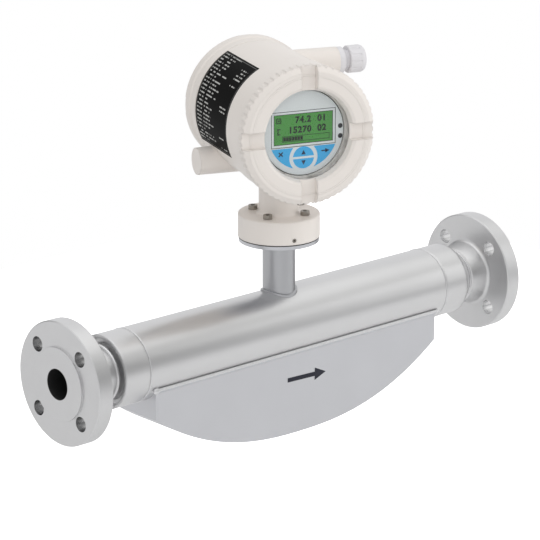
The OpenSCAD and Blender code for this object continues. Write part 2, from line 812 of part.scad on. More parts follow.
// Screwed body with the clamping fingers inside the nut
module gland_body() color(grey_plastic) along_entry() difference() {
    union() {
        disc(entry_bore_d / 2 - set_gap, entry_x - gland_plug, entry_x);
        disc(gland_flange_d / 2, entry_x, entry_x + gland_flange_t);
        disc(gland_neck_d / 2, entry_x + gland_flange_t, cage_end - cage_taper);
        translate([0, 0, cage_end - cage_taper])
            cylinder(r1 = gland_neck_d / 2, r2 = cage_r, h = cage_taper);
    }
    disc(seal_bore_r, entry_x - gland_plug - 1, gland_nut_end);
    for (i = [0:7]) rotate([0, 0, i * 45]) translate([0, -0.6, cage_end - 8])
        cube([gland_neck_d, 1.2, gland_nut_len]);
}

module gland_seal() color(rubber) along_entry()
    tube(seal_bore_r - set_gap, cable_d / 2, cage_end - 9, cage_end);

module gland_slip_ring() color(rubber) along_entry()
    tube(cage_r, cable_d / 2 + 0.5, cage_end, cage_end + slip_t);

// Domed nut with a ribbed grip
module gland_nut() color(grey_plastic) along_entry() difference() {
    nut_r = gland_nut_d / 2;
    dome = 5;
    translate([0, 0, gland_neck_end]) rotate_extrude() polygon(concat(
        [[0, 0], [nut_r - 0.6, 0], [nut_r, 0.6], [nut_r, gland_nut_len - dome]],
        arc([nut_r - dome, gland_nut_len - dome], dome, 0, 90, 6),
        [[0, gland_nut_len]]
    ));
    disc(gland_neck_d / 2 + run_gap, gland_neck_end - 1, cage_end + slip_t);
    disc(cable_d / 2 + 0.3, gland_neck_end, gland_nut_end + 1);
    for (i = [0:11]) rotate([0, 0, i * 30]) translate([nut_r + 1.1, 0, 0])
        disc(1.6, gland_neck_end - 1, gland_nut_end - dome - 1);
}

// ---------- display ----------

// Half discs above and below a gap, and the wedges beside them
module key_shapes() {
    translate([0, -key_z]) difference() {
        circle(r = key_r);
        translate([-2 * key_r, -key_gap / 2]) square([4 * key_r, key_gap]);
    }
    difference() {
        circle(r = key_outer_r);
        translate([-key_outer_r, screen_z - screen_h / 2 - 1.4]) square(2 * key_outer_r);
        translate([0, -key_z]) circle(r = key_r + key_gap + 1.4);
        translate([-key_r, -2 * key_outer_r]) square([2 * key_r, 2 * key_outer_r]);
    }
}

port_x = screen_w / 2 + port_gap + port_d / 2;
ports = [for (side = [1, -1]) [port_x, side * port_spacing / 2 - port_drop]];
key_depth = 0.8;
screen_t = 1.6;
screen_sink = 0.4;
screen_back = display_face - screen_sink - screen_t;

module display_case() color([0.78, 0.81, 0.82]) along_axis() difference() {
    union() {
        disc(display_d / 2, display_back, display_face - 0.6);
        translate([0, 0, display_face - 0.6])
            cylinder(r1 = display_d / 2, r2 = display_d / 2 - 0.6, h = 0.6);
    }
    disc(pivot_r + run_gap, display_back - 1, carrier_front + pivot_len + face_gap);
    translate([-screen_w / 2 - set_gap, screen_z - screen_h / 2 - set_gap, screen_back])
        cube([screen_w + 2 * set_gap, screen_h + 2 * set_gap, screen_t + screen_sink + 1]);
    translate([0, 0, display_face - key_depth]) linear_extrude(key_depth + 1) key_shapes();
    for (p = ports) translate([p[0], p[1], display_face - 2]) cylinder(d = port_d, h = 3);
}

module lcd_panel() color([0.30, 0.62, 0.30]) along_axis()
    translate([-screen_w / 2, screen_z - screen_h / 2, screen_back])
        cube([screen_w, screen_h, screen_t]);

module touch_keys() color([0.25, 0.62, 0.84]) along_axis()
    translate([0, 0, display_face - key_depth]) linear_extrude(key_depth + 0.1) key_shapes();

module infrared_ports() color(rubber) along_axis()
    for (p = ports) translate([p[0], p[1], display_face - 2]) cylinder(d = port_d, h = 1.8);

// ---------- covers ----------

module flutes(r, z0, z1) for (i = [0:flute_count - 1])
    rotate([0, 0, (i + 0.5) * 360 / flute_count]) translate([r + flute_r - flute_depth, 0, 0])
        disc(flute_r, z0, z1);

// Four radial slots for the cover spanner, cut from the face at z
module spanner_slots(z, depth) for (a = [0:90:270]) rotate([0, 0, a])
    translate([window_inner_d / 2 - 3, -slot_w / 2, z - depth]) cube([rim_d, slot_w, depth + 1]);

// Outside of a cover from its skirt's edge at z = 0 to its face at z = h
module cover_profile(skirt_r, rim_r, h) polygon([
    [0, 0], [skirt_r - 0.6, 0], [skirt_r, 0.6],
    [skirt_r, h - rim_len - 3], [rim_r, h - rim_len - 1], [rim_r, h - cover_chamfer],
    [rim_r - cover_chamfer * 1.3, h], [0, h]
]);

module front_cover() color(paint) along_axis() difference() {
    union() {
        translate([0, 0, front_skirt]) rotate_extrude()
            cover_profile(cover_d / 2, rim_d / 2, cover_face - front_skirt);
        translate([0, 0, lock_y]) rotate([90, 0, 0]) disc(lock_head_r + 1.5, cover_d / 2 - 3, rim_d / 2);
    }
    disc(cover_bore_r, front_skirt - 1, cover_wall_back);
    disc(glass_d / 2 + set_gap, cover_wall_back - 1, glass_front + set_gap);
    translate([0, 0, glass_front]) cylinder(d1 = window_inner_d, d2 = window_d, h = glass_recess - 1.5);
    translate([0, 0, cover_face - 1.5]) cylinder(d1 = window_d, d2 = window_d + 5, h = 1.51);
    seal_groove(front_skirt);
    spanner_slots(cover_face, slot_depth);
    flutes(rim_d / 2, cover_face - rim_len - 4, cover_face + 1);
    translate([0, 0, lock_y]) rotate([90, 0, 0]) cylinder(r = lock_r + set_gap, h = rim_d);
}

module window_glass() color([0.75, 0.85, 0.88, 0.3])
    along_axis() disc(glass_d / 2, glass_back, glass_front);

// Threaded ring that holds the glass from behind
module glass_ring() color(grey_plastic) along_axis()
    tube(glass_d / 2, glass_ring_bore_d / 2, cover_wall_back, glass_back);

module cover_lock_screw() color(dark_steel)
    along_axis() translate([0, -rim_d / 2, lock_y]) rotate([90, 0, 0])
    socket_screw(2 * lock_r, 2 * lock_head_r, lock_head_len, rim_d / 2 - collar_r - 0.5);

// Round cord seal on a collar, at the end of a cover's skirt
module seal(skirt) translate([0, 0, skirt + seal_inset + seal_cord_d / 2 + set_gap]) rotate_extrude()
    translate([seal_r, 0]) circle(d = seal_cord_d, $fn = 32);

module seal_groove(skirt) tube(seal_r + seal_cord_d / 2 + set_gap, collar_r - 2,
    skirt + seal_inset, skirt + seal_inset + seal_cord_d + 2 * set_gap);

module front_seal() color(rubber) along_axis() seal(front_skirt);

module rear_cover() color(paint) along_axis() mirror([0, 0, 1]) difference() {
    translate([0, 0, rear_skirt]) rotate_extrude()
        cover_profile(rear_skirt_d / 2, rear_rim_d / 2, rear_face - rear_skirt);
    disc(cover_bore_r, rear_skirt - 1, -rear_wall_front);
    seal_groove(rear_skirt);
    spanner_slots(rear_face, slot_depth - 1);
}

module rear_seal() color(rubber) along_axis() mirror([0, 0, 1]) seal(rear_skirt);

// ---------- nodes ----------

inlet_flange();
outlet_flange();
inlet_splitter();
outlet_splitter();
casing_end_inlet();
casing_end_outlet();
casing_barrel();
belly_plate_front();
belly_plate_rear();
belly_strip();
flow_tube_front();
flow_tube_rear();
brace_plates();
drive_coil();
drive_magnet();
pickoff_coils();
pickoff_magnets();
temperature_sensor();
sensor_harness();
neck_tube();
neck_plate();
swivel_spigot();
feedthrough();
base_gasket();
housing();
clamp_ring();
base_screws();
grub_screw();
type_plate();
electronics_carrier();
signal_harness();
main_board();
carrier_lid();
terminal_carrier();
terminal_block();
terminal_screws();
gland_body();
gland_seal();
gland_slip_ring();
gland_nut();
display_case();
lcd_panel();
touch_keys();
infrared_ports();
front_seal();
front_cover();
window_glass();
glass_ring();
cover_lock_screw();
rear_seal();
rear_cover();
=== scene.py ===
"""Finishes and small trim of a twin-tube mass flow meter, set on its solid model.

Millimetres are used in this file and turned into metres as a piece is placed. The solid model's
frame is +X along the flow and +Z up, with the origin on the inlet's sealing face.
"""

import json
import math

import bpy
from bpy.props import FloatProperty, FloatVectorProperty, IntProperty, PointerProperty
from mathutils import Matrix, Vector


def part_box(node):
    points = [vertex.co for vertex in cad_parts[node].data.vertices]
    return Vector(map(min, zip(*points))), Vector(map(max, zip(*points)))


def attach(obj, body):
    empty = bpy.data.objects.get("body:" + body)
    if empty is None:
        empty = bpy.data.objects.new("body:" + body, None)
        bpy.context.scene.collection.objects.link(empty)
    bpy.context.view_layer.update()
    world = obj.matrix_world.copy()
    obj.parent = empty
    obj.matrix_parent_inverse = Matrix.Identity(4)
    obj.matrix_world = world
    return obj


bl_info = {
    "name": "Twin-tube Mass Flow Meter",
    "version": (1, 0, 0),
    "blender": (4, 5, 0),
    "location": "3D View > Sidebar > Flow Meter",
    "description": "Builds the finishes and trim of a flanged mass flow meter",
    "category": "Object",
}

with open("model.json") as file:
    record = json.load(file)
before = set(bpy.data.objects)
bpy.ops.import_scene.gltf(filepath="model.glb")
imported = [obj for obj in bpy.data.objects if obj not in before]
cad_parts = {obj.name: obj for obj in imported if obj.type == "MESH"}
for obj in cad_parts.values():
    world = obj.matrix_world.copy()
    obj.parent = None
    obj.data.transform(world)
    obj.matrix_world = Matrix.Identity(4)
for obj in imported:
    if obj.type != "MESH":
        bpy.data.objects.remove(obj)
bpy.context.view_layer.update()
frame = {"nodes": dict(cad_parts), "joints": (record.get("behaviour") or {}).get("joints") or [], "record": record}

MM = 0.001
JOINTS = {joint["name"]: joint for joint in frame["joints"]}


# ---------- where things are on the solid model ----------

# The dial's own frame: +X to the reader's right, +Y up, +Z out of the display
FRONT = Vector(JOINTS["display_turn"]["axis"]).normalized()
UP = Vector((0, 0, 1))
RIGHT = UP.cross(FRONT)
AXIS_POINT = Vector(JOINTS["display_turn"]["pos_m"])
DIAL = Matrix.Translation(AXIS_POINT) @ Matrix((RIGHT, UP, FRONT)).transposed().to_4x4()
DIAL_FRAME = tuple(AXIS_POINT), tuple(DIAL.to_euler())

# The gland's own frame: +Z out of the housing along the cable
GLAND_POINT = Vector(JOINTS["gland_nut_turn"]["pos_m"])
GLAND_AXIS = Vector(JOINTS["gland_nut_travel"]["axis"]).normalized()
GLAND_SIDE = UP.cross(GLAND_AXIS)
GLAND = Matrix.Translation(GLAND_POINT) @ Matrix(
    (GLAND_SIDE, GLAND_AXIS.cross(GLAND_SIDE), GLAND_AXIS)
).transposed().to_4x4()
GLAND_FRAME = tuple(GLAND_POINT), tuple(GLAND.to_euler())

NECK = Vector(JOINTS["housing_turn"]["pos_m"])
MOUNTS = {mount["name"]: mount["dims"] for mount in frame["record"]["mounts"]}


def points_of(node):
    """The places of a node's vertices, in metres."""
    return [vertex.co for vertex in frame["nodes"][node].data.vertices]


def span(node, direction, origin):
    """How far a node reaches along a direction, lowest and highest, in mm from the origin."""
    reach = [(point - origin).dot(direction) / MM for point in points_of(node)]
    return min(reach), max(reach)


CASING_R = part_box("casing_barrel")[1].z / MM
SEAMS = [corner.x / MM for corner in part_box("casing_barrel")]
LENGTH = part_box("outlet_flange")[1].x / MM
MIDDLE = LENGTH / 2
HUB_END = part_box("inlet_flange")[1].x / MM
FACE_R = max(math.hypot(p.y, p.z) for p in points_of("inlet_flange") if p.x < 0.1 * MM) / MM
BORE_R = MOUNTS["inlet_bore"]["r_mm"]
BOLT_HOLE_R = MOUNTS["inlet_bolts"]["hole_r_mm"]
BOLT_OFFSET = MOUNTS["inlet_bolts"]["pcd_mm"] / 2 / math.sqrt(2)
PLATE_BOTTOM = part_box("neck_plate")[0].z / MM
NECK_R = max(
    math.hypot(p.x - NECK.x, p.y) for p in points_of("neck_tube") if p.z > (PLATE_BOTTOM - 1) * MM
) / MM
BELLY_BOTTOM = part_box("belly_plate_front")[0].z
BELLY_FACE = max(-p.y for p in points_of("belly_plate_front") if p.z < BELLY_BOTTOM + MM) / MM
COLLAR_R = 55.5  # of the housing's threaded collars
HOUSING_R = 61.2  # under the type plate
SCREEN_U = span("lcd_panel", RIGHT, AXIS_POINT)
SCREEN_V = span("lcd_panel", UP, AXIS_POINT)
SCREEN_FRONT = span("lcd_panel", FRONT, AXIS_POINT)[1]
DISPLAY_FRONT = span("display_case", FRONT, AXIS_POINT)[1]
KEYS_FRONT = span("touch_keys", FRONT, AXIS_POINT)[1]
KEYS_V = span("touch_keys", UP, AXIS_POINT)


# ---------- sizes and colours that can be changed ----------

def length_of(name, description, millimetres):
    return FloatProperty(
        name=name, description=description, default=millimetres * MM,
        min=0.0, unit="LENGTH", subtype="DISTANCE", precision=5,
    )


def colour_of(name, description, value):
    return FloatVectorProperty(
        name=name, description=description, default=value,
        min=0.0, max=1.0, size=3, subtype="COLOR",
    )


class FlowMeterSizes(bpy.types.PropertyGroup):
    """Sizes of the trim"""

    arrow_length: length_of("Arrow length", "Length of the flow arrow, tip to tail", 48.5)
    arrow_shaft: length_of("Arrow shaft", "Height of the arrow's shaft", 4.2)
    arrow_head: length_of("Arrow head", "Height of the arrow's head", 12.2)
    arrow_head_length: length_of("Arrow head length", "Length of the arrow's head", 14.0)
    film: length_of("Film thickness", "Thickness of the arrow's film", 0.2)
    bead: length_of("Weld bead", "Half the width of a weld bead", 1.5)
    ripple: length_of("Weld ripple", "Distance between two ripples of a weld", 1.7)
    digit: length_of("Digit height", "Height of the digits on the screen", 6.0)
    line: length_of("Screen line", "Width of a line round the screen", 0.5)
    screen_edge: length_of("Screen edge", "Width of the pale edge printed on the screen", 1.9)
    gland_pitch: length_of("Gland thread pitch", "Pitch of the gland's thread", 1.5)
    bar_share: FloatProperty(
        name="Bar reading", description="Filled share of the bar on the screen",
        default=0.44, min=0.0, max=1.0, subtype="FACTOR",
    )
    thread_turns: IntProperty(
        name="Thread turns", description="Turns of thread that show on the gland", default=3, min=1,
    )


class FlowMeterColours(bpy.types.PropertyGroup):
    """Colours of the finishes"""

    coat: colour_of("Powder coat", "Warm off-white of the housing", (0.80, 0.752, 0.708))
    flange: colour_of("Turned steel", "Turned stainless of the flanges", (0.70, 0.70, 0.705))
    shell: colour_of("Blasted steel", "Bead-blasted stainless of the casing", (0.70, 0.70, 0.705))
    plate: colour_of("Plate steel", "Brushed stainless of the belly", (0.63, 0.635, 0.66))
    # Painted shade: the neck tube's stainless is a darker copy of the casing steel.
    neck: colour_of("Neck steel", "Stainless of the neck tube", (0.48, 0.485, 0.50))
    tubes: colour_of("Drawn steel", "Stainless of the measuring tubes", (0.62, 0.62, 0.60))
    weld: colour_of("Weld", "Brushed weld metal", (0.88, 0.88, 0.89))
    plated: colour_of("Plated steel", "Dull plated screws", (0.42, 0.39, 0.35))
    gland: colour_of("Gland plastic", "Light grey plastic of the gland", (0.72, 0.71, 0.73))
    # Painted light: the display face is set paler than its own grey-blue, to lift the shade of the recess under
    # the glass.
    face: colour_of("Display face", "Pale grey-blue of the display", (0.84, 0.87, 0.88))
    screen: colour_of("Screen", "Backlit green of the screen", (0.050, 0.225, 0.038))
    keys: colour_of("Keys", "Blue of the touch keys", (0.040, 0.47, 0.90))
    arrow: colour_of("Arrow", "Dark slate of the flow arrow", (0.016, 0.017, 0.028))
    label: colour_of("Label", "Matt black of the type plate", (0.003, 0.003, 0.003))
    dashes: colour_of("Label dashes", "Pale grey of the type plate's dashes", (0.62, 0.62, 0.60))


# ---------- finishes ----------

class Wire:
    """A socket that takes part in sums, so that a pattern reads as a formula."""

    def __init__(self, nodes, socket):
        self.nodes = nodes
        self.socket = socket

    def __add__(self, other):
        return self.nodes.maths("ADD", self, other)

    def __radd__(self, other):
        return self.nodes.maths("ADD", other, self)

    def __sub__(self, other):
        return self.nodes.maths("SUBTRACT", self, other)

    def __rsub__(self, other):
        return self.nodes.maths("SUBTRACT", other, self)

    def __mul__(self, other):
        return self.nodes.maths("MULTIPLY", self, other)

    def __rmul__(self, other):
        return self.nodes.maths("MULTIPLY", other, self)

    def __truediv__(self, other):
        return self.nodes.maths("DIVIDE", self, other)

    def __pow__(self, other):
        return self.nodes.maths("POWER", self, other)

    def __abs__(self):
        return self.nodes.maths("ABSOLUTE", self)


class Nodes:
    """A node tree, emptied, and the patterns that can be made in it."""

    def __init__(self, tree):
        self.tree = tree
        tree.nodes.clear()

    def node(self, kind, settings=None, inputs=None):
        """Adds a node: its settings first, then the values or links of its sockets."""
        made = self.tree.nodes.new(kind)
        for name, value in (settings or {}).items():
            if name == "stops":
                self.set_stops(made.color_ramp, value)
            else:
                setattr(made, name, value)
        for key, value in (inputs or {}).items():
            self.feed(made.inputs[key], value)
        return made

    def set_stops(self, ramp, stops):
        while len(ramp.elements) < len(stops):
            ramp.elements.new(1.0)
        for element, (position, colour) in zip(ramp.elements, stops):
            element.position = position
            element.color = (*colour, 1.0)

    def feed(self, socket, value):
        if isinstance(value, Wire):
            self.tree.links.new(value.socket, socket)
        else:
            socket.default_value = value

    def wire(self, kind, settings=None, inputs=None, output=0):
        return Wire(self, self.node(kind, settings, inputs).outputs[output])

    def maths(self, operation, *values):
        return self.wire("ShaderNodeMath", {"operation": operation}, dict(enumerate(values)))

    def place(self, centre=(0, 0, 0), turn=(0, 0, 0)):
        """Position in millimetres in a frame of its own: the vector, then x, y and z."""
        position = self.wire("ShaderNodeTexCoord", output=3)
        local = self.wire(
            "ShaderNodeMapping", {"vector_type": "TEXTURE"},
            {"Vector": position, "Location": centre, "Rotation": turn, "Scale": (MM, MM, MM)},
        )
        parts = self.node("ShaderNodeSeparateXYZ", {}, {0: local})
        return [local] + [Wire(self, socket) for socket in parts.outputs]

    def noise(self, place, scale, detail=2.0, stretch=None):
        """Uneven pattern about 0.5, with scale in waves a millimetre."""
        if stretch:
            place = self.wire("ShaderNodeMapping", {}, {"Vector": place, "Scale": stretch})
        return self.wire(
            "ShaderNodeTexNoise", {}, {"Vector": place, "Scale": scale, "Detail": detail}
        )

    def rise(self, value, low, high):
        """0 below low, 1 above high and smooth between."""
        return self.wire(
            "ShaderNodeMapRange", {"interpolation_type": "SMOOTHSTEP"},
            {"Value": value, "From Min": low, "From Max": high},
        )

    def band(self, value, centre, half, soft):
        """1 within half of the centre, falling to 0 over the soft distance."""
        return 1 - self.rise(abs(value - centre), half, half + soft)

    def blend(self, share, first, second):
        """A colour between two, by share."""
        pair = [(*c, 1.0) if isinstance(c, (tuple, list)) else c for c in (first, second)]
        return self.wire(
            "ShaderNodeMix", {"data_type": "RGBA"}, {0: share, 6: pair[0], 7: pair[1]}, output=2
        )


class Finish(Nodes):
    """A procedural material on the principled shader."""

    def __init__(self, name, **constants):
        self.material = bpy.data.materials.new(name)
        self.material.use_nodes = True
        super().__init__(self.material.node_tree)
        self.shader = self.node("ShaderNodeBsdfPrincipled")
        self.output = self.node(
            "ShaderNodeOutputMaterial", {}, {"Surface": Wire(self, self.shader.outputs[0])}
        )
        for socket, value in constants.items():
            self.set(socket.replace("_", " ").title().replace("Ior", "IOR"), value)

    def set(self, socket, value):
        """A colour, a number or a pattern for one of the shader's own sockets."""
        if isinstance(value, tuple) and "Color" in socket:
            value = (*value, 1.0)
        self.feed(self.shader.inputs[socket], value)

    def relief(self, height, depth, edge=None):
        """Bumps of a depth in mm, on edges softened by a radius in mm where one is given."""
        inputs = {"Height": height, "Distance": depth * MM, "Strength": 1.0}
        if edge:
            inputs["Normal"] = self.wire("ShaderNodeBevel", {"samples": 4}, {"Radius": edge * MM})
        self.set("Normal", self.wire("ShaderNodeBump", {}, inputs))
        return self.material


def darker(colour, share):
    return tuple(part * (1 - share) for part in colour)


def turned_steel(colour):
    """Flanges: turning marks, a serrated sealing face, a rougher bore, and painted shade in the bore and the bolt
    holes.
    """
    steel = Finish("turned steel", metallic=1.0)
    place, x, y, z = steel.place((MIDDLE * MM, 0, 0))
    radius = steel.maths("SQRT", y * y + z * z)
    marks = steel.maths("SINE", (radius + abs(x)) * 7.0)
    on_face = steel.rise(abs(x), MIDDLE - 0.4, MIDDLE - 0.2)
    sealing = (1 - steel.rise(radius, FACE_R - 0.6, FACE_R - 0.2)) * on_face
    grooves = steel.maths("SINE", radius * 9.5) * sealing
    bore = 1 - steel.rise(radius, BORE_R + 0.1, BORE_R + 0.35)
    from_hole = steel.maths("SQRT", (abs(y) - BOLT_OFFSET) ** 2 + (abs(z) - BOLT_OFFSET) ** 2)
    holes = 1 - steel.rise(from_hole, BOLT_HOLE_R + 0.05, BOLT_HOLE_R + 0.25)
    patches = steel.noise(place, 0.045, 3.0)
    colour_now = steel.blend(patches * 0.35, colour, darker(colour, 0.16))
    # Painted shade inside the bolt holes, deeper in the inlet flange's holes than in the outlet's.
    hole_shade = steel.blend(steel.rise(x, 0, 1), darker(colour, 0.4), darker(colour, 0.05))
    colour_now = steel.blend(holes, colour_now, hole_shade)
    # Painted shade: the bore's colour is darkened almost to black.
    steel.set("Base Color", steel.blend(bore, colour_now, darker(colour, 0.85)))
    fine = steel.noise(place, 2.2, 3.0)
    rough = 0.30 + fine * 0.10 + patches * 0.06 + bore * 0.2
    steel.set("Roughness", rough - sealing * 0.04 - holes * 0.14)
    return steel.relief(marks * 0.12 + grooves * 0.9 + fine * 0.3, 0.03, 0.5)


def blasted_steel(name, colour, grain_scale=3.2, edge=0.4):
    """Casing, belly and neck: an even satin grain with faint clouds."""
    steel = Finish(name, metallic=1.0)
    place = steel.place((MIDDLE * MM, 0, 0))[0]
    patches = steel.noise(place, 0.022, 3.0)
    steel.set("Base Color", steel.blend(patches * 0.4, colour, darker(colour, 0.12)))
    grain = steel.noise(place, grain_scale, 2.0)
    steel.set("Roughness", 0.27 + grain * 0.10 + patches * 0.05)
    return steel.relief(grain, 0.012, edge)


def drawn_steel(colour):
    """Tubes and braces inside the casing: fine lines along their length."""
    steel = Finish("drawn steel", metallic=1.0, base_color=colour)
    place = steel.place()[0]
    lines = steel.noise(place, 1.0, 2.0, stretch=(0.08, 3.0, 3.0))
    steel.set("Roughness", 0.24 + lines * 0.14)
    return steel.relief(lines, 0.01)


def weld_metal(colour):
    """Beads: bright crests and duller roots."""
    metal = Finish("weld metal", metallic=1.0)
    place = metal.place()[0]
    patches = metal.noise(place, 0.5, 3.0)
    metal.set("Base Color", metal.blend(patches, colour, darker(colour, 0.22)))
    metal.set("Roughness", 0.42 + patches * 0.16)
    return metal.relief(patches, 0.05)


def plated_steel(colour):
    """Screws and the swivel: dull plating, slightly stained."""
    steel = Finish("plated steel", metallic=1.0)
    place = steel.place()[0]
    stains = steel.noise(place, 0.35, 3.0)
    steel.set("Base Color", steel.blend(stains, colour, darker(colour, 0.3)))
    steel.set("Roughness", 0.34 + stains * 0.16)
    return steel.relief(stains, 0.01, 0.2)


def copper_winding(colour):
    """Coils: turns of enamelled wire round the Y axis."""
    copper = Finish("copper winding", metallic=0.9, base_color=colour, roughness=0.3)
    y = copper.place()[2]
    return copper.relief(copper.maths("SINE", y * 14.0), 0.08)


def powder_coat(colour):
    """Housing and covers: a fine orange peel over softened cast edges."""
    coat = Finish("powder coat", roughness=0.42)
    place, across, up, out = coat.place(*DIAL_FRAME)
    radius = coat.maths("SQRT", across * across + up * up)
    peel = coat.noise(place, 1.1, 2.0)
    cloud = coat.noise(place, 0.02, 2.0)
    coat.set("Base Color", coat.blend(cloud * 0.3, colour, darker(colour, 0.05)))
    collar = coat.band(radius, COLLAR_R - 0.2, 0.7, 0.2)
    thread = coat.maths("SINE", out * math.pi) * collar
    coat.set("Coat Weight", 0.08 + peel * 0.04)
    return coat.relief(peel * 0.10 + thread * 1.6, 0.25, 1.8)


def moulded(name, colour, roughness, grain=0.01, edge=0.3, scale=2.0, own_frame=()):
    """A plain moulded plastic or rubber with a fine grain."""
    plastic = Finish(name, base_color=colour)
    place = plastic.place(*own_frame)[0]
    speckle = plastic.noise(place, scale, 2.0)
    plastic.set("Roughness", roughness - 0.05 + speckle * 0.1)
    return plastic.relief(speckle, grain, edge)


def ruled_label(colour, dash_colour):
    """Type plate: matt black foil with a thin border and ragged rows of plain dashes."""
    row_pitch, dash = 3.6, 1.6
    foil = Finish("type plate", roughness=0.5, specular_ior_level=0.03)
    place, across, up, out = foil.place(*DIAL_FRAME)
    low, high = span("type_plate", FRONT, AXIS_POINT)
    offsets = [point - AXIS_POINT for point in points_of("type_plate")]
    turns = [math.atan2(offset.dot(UP), -offset.dot(RIGHT)) for offset in offsets]
    arc = (max(turns) - min(turns)) * HOUSING_R
    height = (foil.maths("ARCTAN2", up, across * -1) - min(turns)) * HOUSING_R

    def within(margin):
        along = foil.band(out, (low + high) / 2, (high - low) / 2 - margin, 0.2)
        return along * foil.band(height, arc / 2, arc / 2 - margin, 0.2)

    edge, inside = within(1.8), within(2.6)
    row = foil.maths("FLOOR", height / row_pitch)
    ragged = foil.wire("ShaderNodeTexWhiteNoise", {"noise_dimensions": "1D"}, {"W": row})
    column = foil.maths("FLOOR", out / dash)
    cell = foil.wire("ShaderNodeCombineXYZ", {}, {0: row, 1: column})
    dashes = foil.rise(foil.wire("ShaderNodeTexWhiteNoise", {}, {"Vector": cell}), 0.30, 0.34)
    in_row = foil.maths("MODULO", height + 100 * row_pitch, row_pitch)
    stroke = foil.band(in_row, row_pitch / 2, 0.5, 0.3)
    from_rear = out - low
    first = foil.band(from_rear, 10, 6, 0.4)
    second = foil.rise(from_rear, 20.0, 20.4) * (1 - foil.rise(from_rear - ragged * 26, 22.0, 22.4))
    third = foil.band(from_rear, 64, 7, 0.4) * (1 - foil.rise(ragged, 0.38, 0.4))
    printed = foil.maths("MAXIMUM", first, foil.maths("MAXIMUM", second, third))
    lines = (edge - inside) * 0.2 + inside * stroke * dashes * printed * 0.8
    foil.set("Base Color", foil.blend(lines, colour, dash_colour))
    return foil.relief(foil.noise(place, 2.0), 0.01, 0.2)


def circuit_board():
    """Solder mask with lighter tracks and round pads."""
    board = Finish("circuit board", roughness=0.35)
    place, across, up = board.place(*DIAL_FRAME)[:3]
    bent = across + board.maths("SINE", up * 0.4) * 3.0
    tracks = board.rise(abs(board.maths("SINE", bent * 1.3)), 0.86, 0.9)
    cells = board.wire("ShaderNodeTexVoronoi", {}, {"Vector": place, "Scale": 0.22})
    pads = 1 - board.rise(cells, 0.16, 0.2)
    mask = board.blend(tracks * 0.5, (0.012, 0.11, 0.05), (0.03, 0.24, 0.11))
    board.set("Base Color", board.blend(pads, mask, (0.55, 0.45, 0.22)))
    board.set("Metallic", pads * 0.8)
    return board.relief(tracks + pads, 0.04, 0.2)


def backlit_screen(colour):
    """Screen: an even green light with a fine grid of cells under it."""
    screen = Finish("backlit screen", roughness=0.25, base_color=colour)
    across, up = screen.place(*DIAL_FRAME)[1:3]
    columns, rows = (screen.maths("SINE", way * 12.0) for way in (across, up))
    cells = screen.rise(columns, 0.7, 1.0) + screen.rise(rows, 0.7, 1.0)
    glow = screen.band(up, (SCREEN_V[0] + SCREEN_V[1]) / 2, 9.0, 12.0) * 0.5 + 0.6
    bright = screen.blend(cells * 0.18 + (1 - glow) * 0.5, colour, darker(colour, 0.45))
    screen.set("Emission Color", bright)
    screen.set("Emission Strength", 0.30)
    return screen.material


def glossy(name, colour, roughness=0.22, coat=0.4):
    """A smooth printed or moulded face under a clear coat."""
    face = Finish(name, base_color=colour, coat_roughness=0.08)
    place = face.place()[0]
    haze = face.noise(place, 0.08, 2.0)
    face.set("Roughness", roughness + haze * 0.06)
    face.set("Coat Weight", coat + haze * 0.05)
    return face.relief(haze, 0.01, 0.2)


def clear_glass():
    """The window: clear, with reflections that grow towards grazing."""
    glass = Finish("window glass")
    glass.tree.nodes.remove(glass.shader)
    mirror = glass.wire("ShaderNodeBsdfGlossy", {}, {"Color": (1, 1, 1, 1), "Roughness": 0.02})
    clear = glass.wire("ShaderNodeBsdfTransparent", {}, {"Color": (0.98, 0.985, 0.985, 1)})
    grazing = glass.wire("ShaderNodeFresnel", {}, {"IOR": 1.45})
    mixed = glass.wire("ShaderNodeMixShader", {}, {0: grazing * 0.4, 1: clear, 2: mirror})
    glass.feed(glass.output.inputs["Surface"], mixed)
    return glass.material


# ---------- modelling by hand ----------

FINISHES = {}  # material by name, filled by the finishes operator
CREST = 0.14  # height of a ring weld's ripples, as a share of half its width


def colours():
    return bpy.context.scene.flow_meter_colours


def sizes():
    return bpy.context.scene.flow_meter_sizes


def deselect():
    if bpy.context.object and bpy.context.object.mode != "OBJECT":
        bpy.ops.object.mode_set(mode="OBJECT")
    bpy.ops.object.select_all(action="DESELECT")


def take(piece):
    """Makes a piece the one that operators act on."""
    deselect()
    piece.select_set(True)
    bpy.context.view_layer.objects.active = piece
    return piece


def start(primitive, name, **settings):
    """Adds a primitive and names it."""
    deselect()
    primitive(**settings)
    piece = bpy.context.object
    piece.name = piece.data.name = name
    return piece


def pick(piece, faces=None, edges=None, points=None):
    """Selects, in edit mode, the faces, edges or points that a test finds by their place."""
    bpy.ops.object.mode_set(mode="OBJECT")
    mesh = piece.data
    for group in (mesh.vertices, mesh.edges, mesh.polygons):
        group.foreach_set("select", [False] * len(group))
    if faces:
        for face in mesh.polygons:
            face.select = faces(face.center / MM, face.normal)
        mode = "FACE"
    elif edges:
        for edge in mesh.edges:
            ends = [mesh.vertices[i].co / MM for i in edge.vertices]
            edge.select = edges(*ends)
        mode = "EDGE"
    else:
        for vertex in mesh.vertices:
            vertex.select = points(vertex.co / MM)
        mode = "VERT"
    bpy.ops.object.mode_set(mode="EDIT")
    bpy.ops.mesh.select_mode(type=mode)


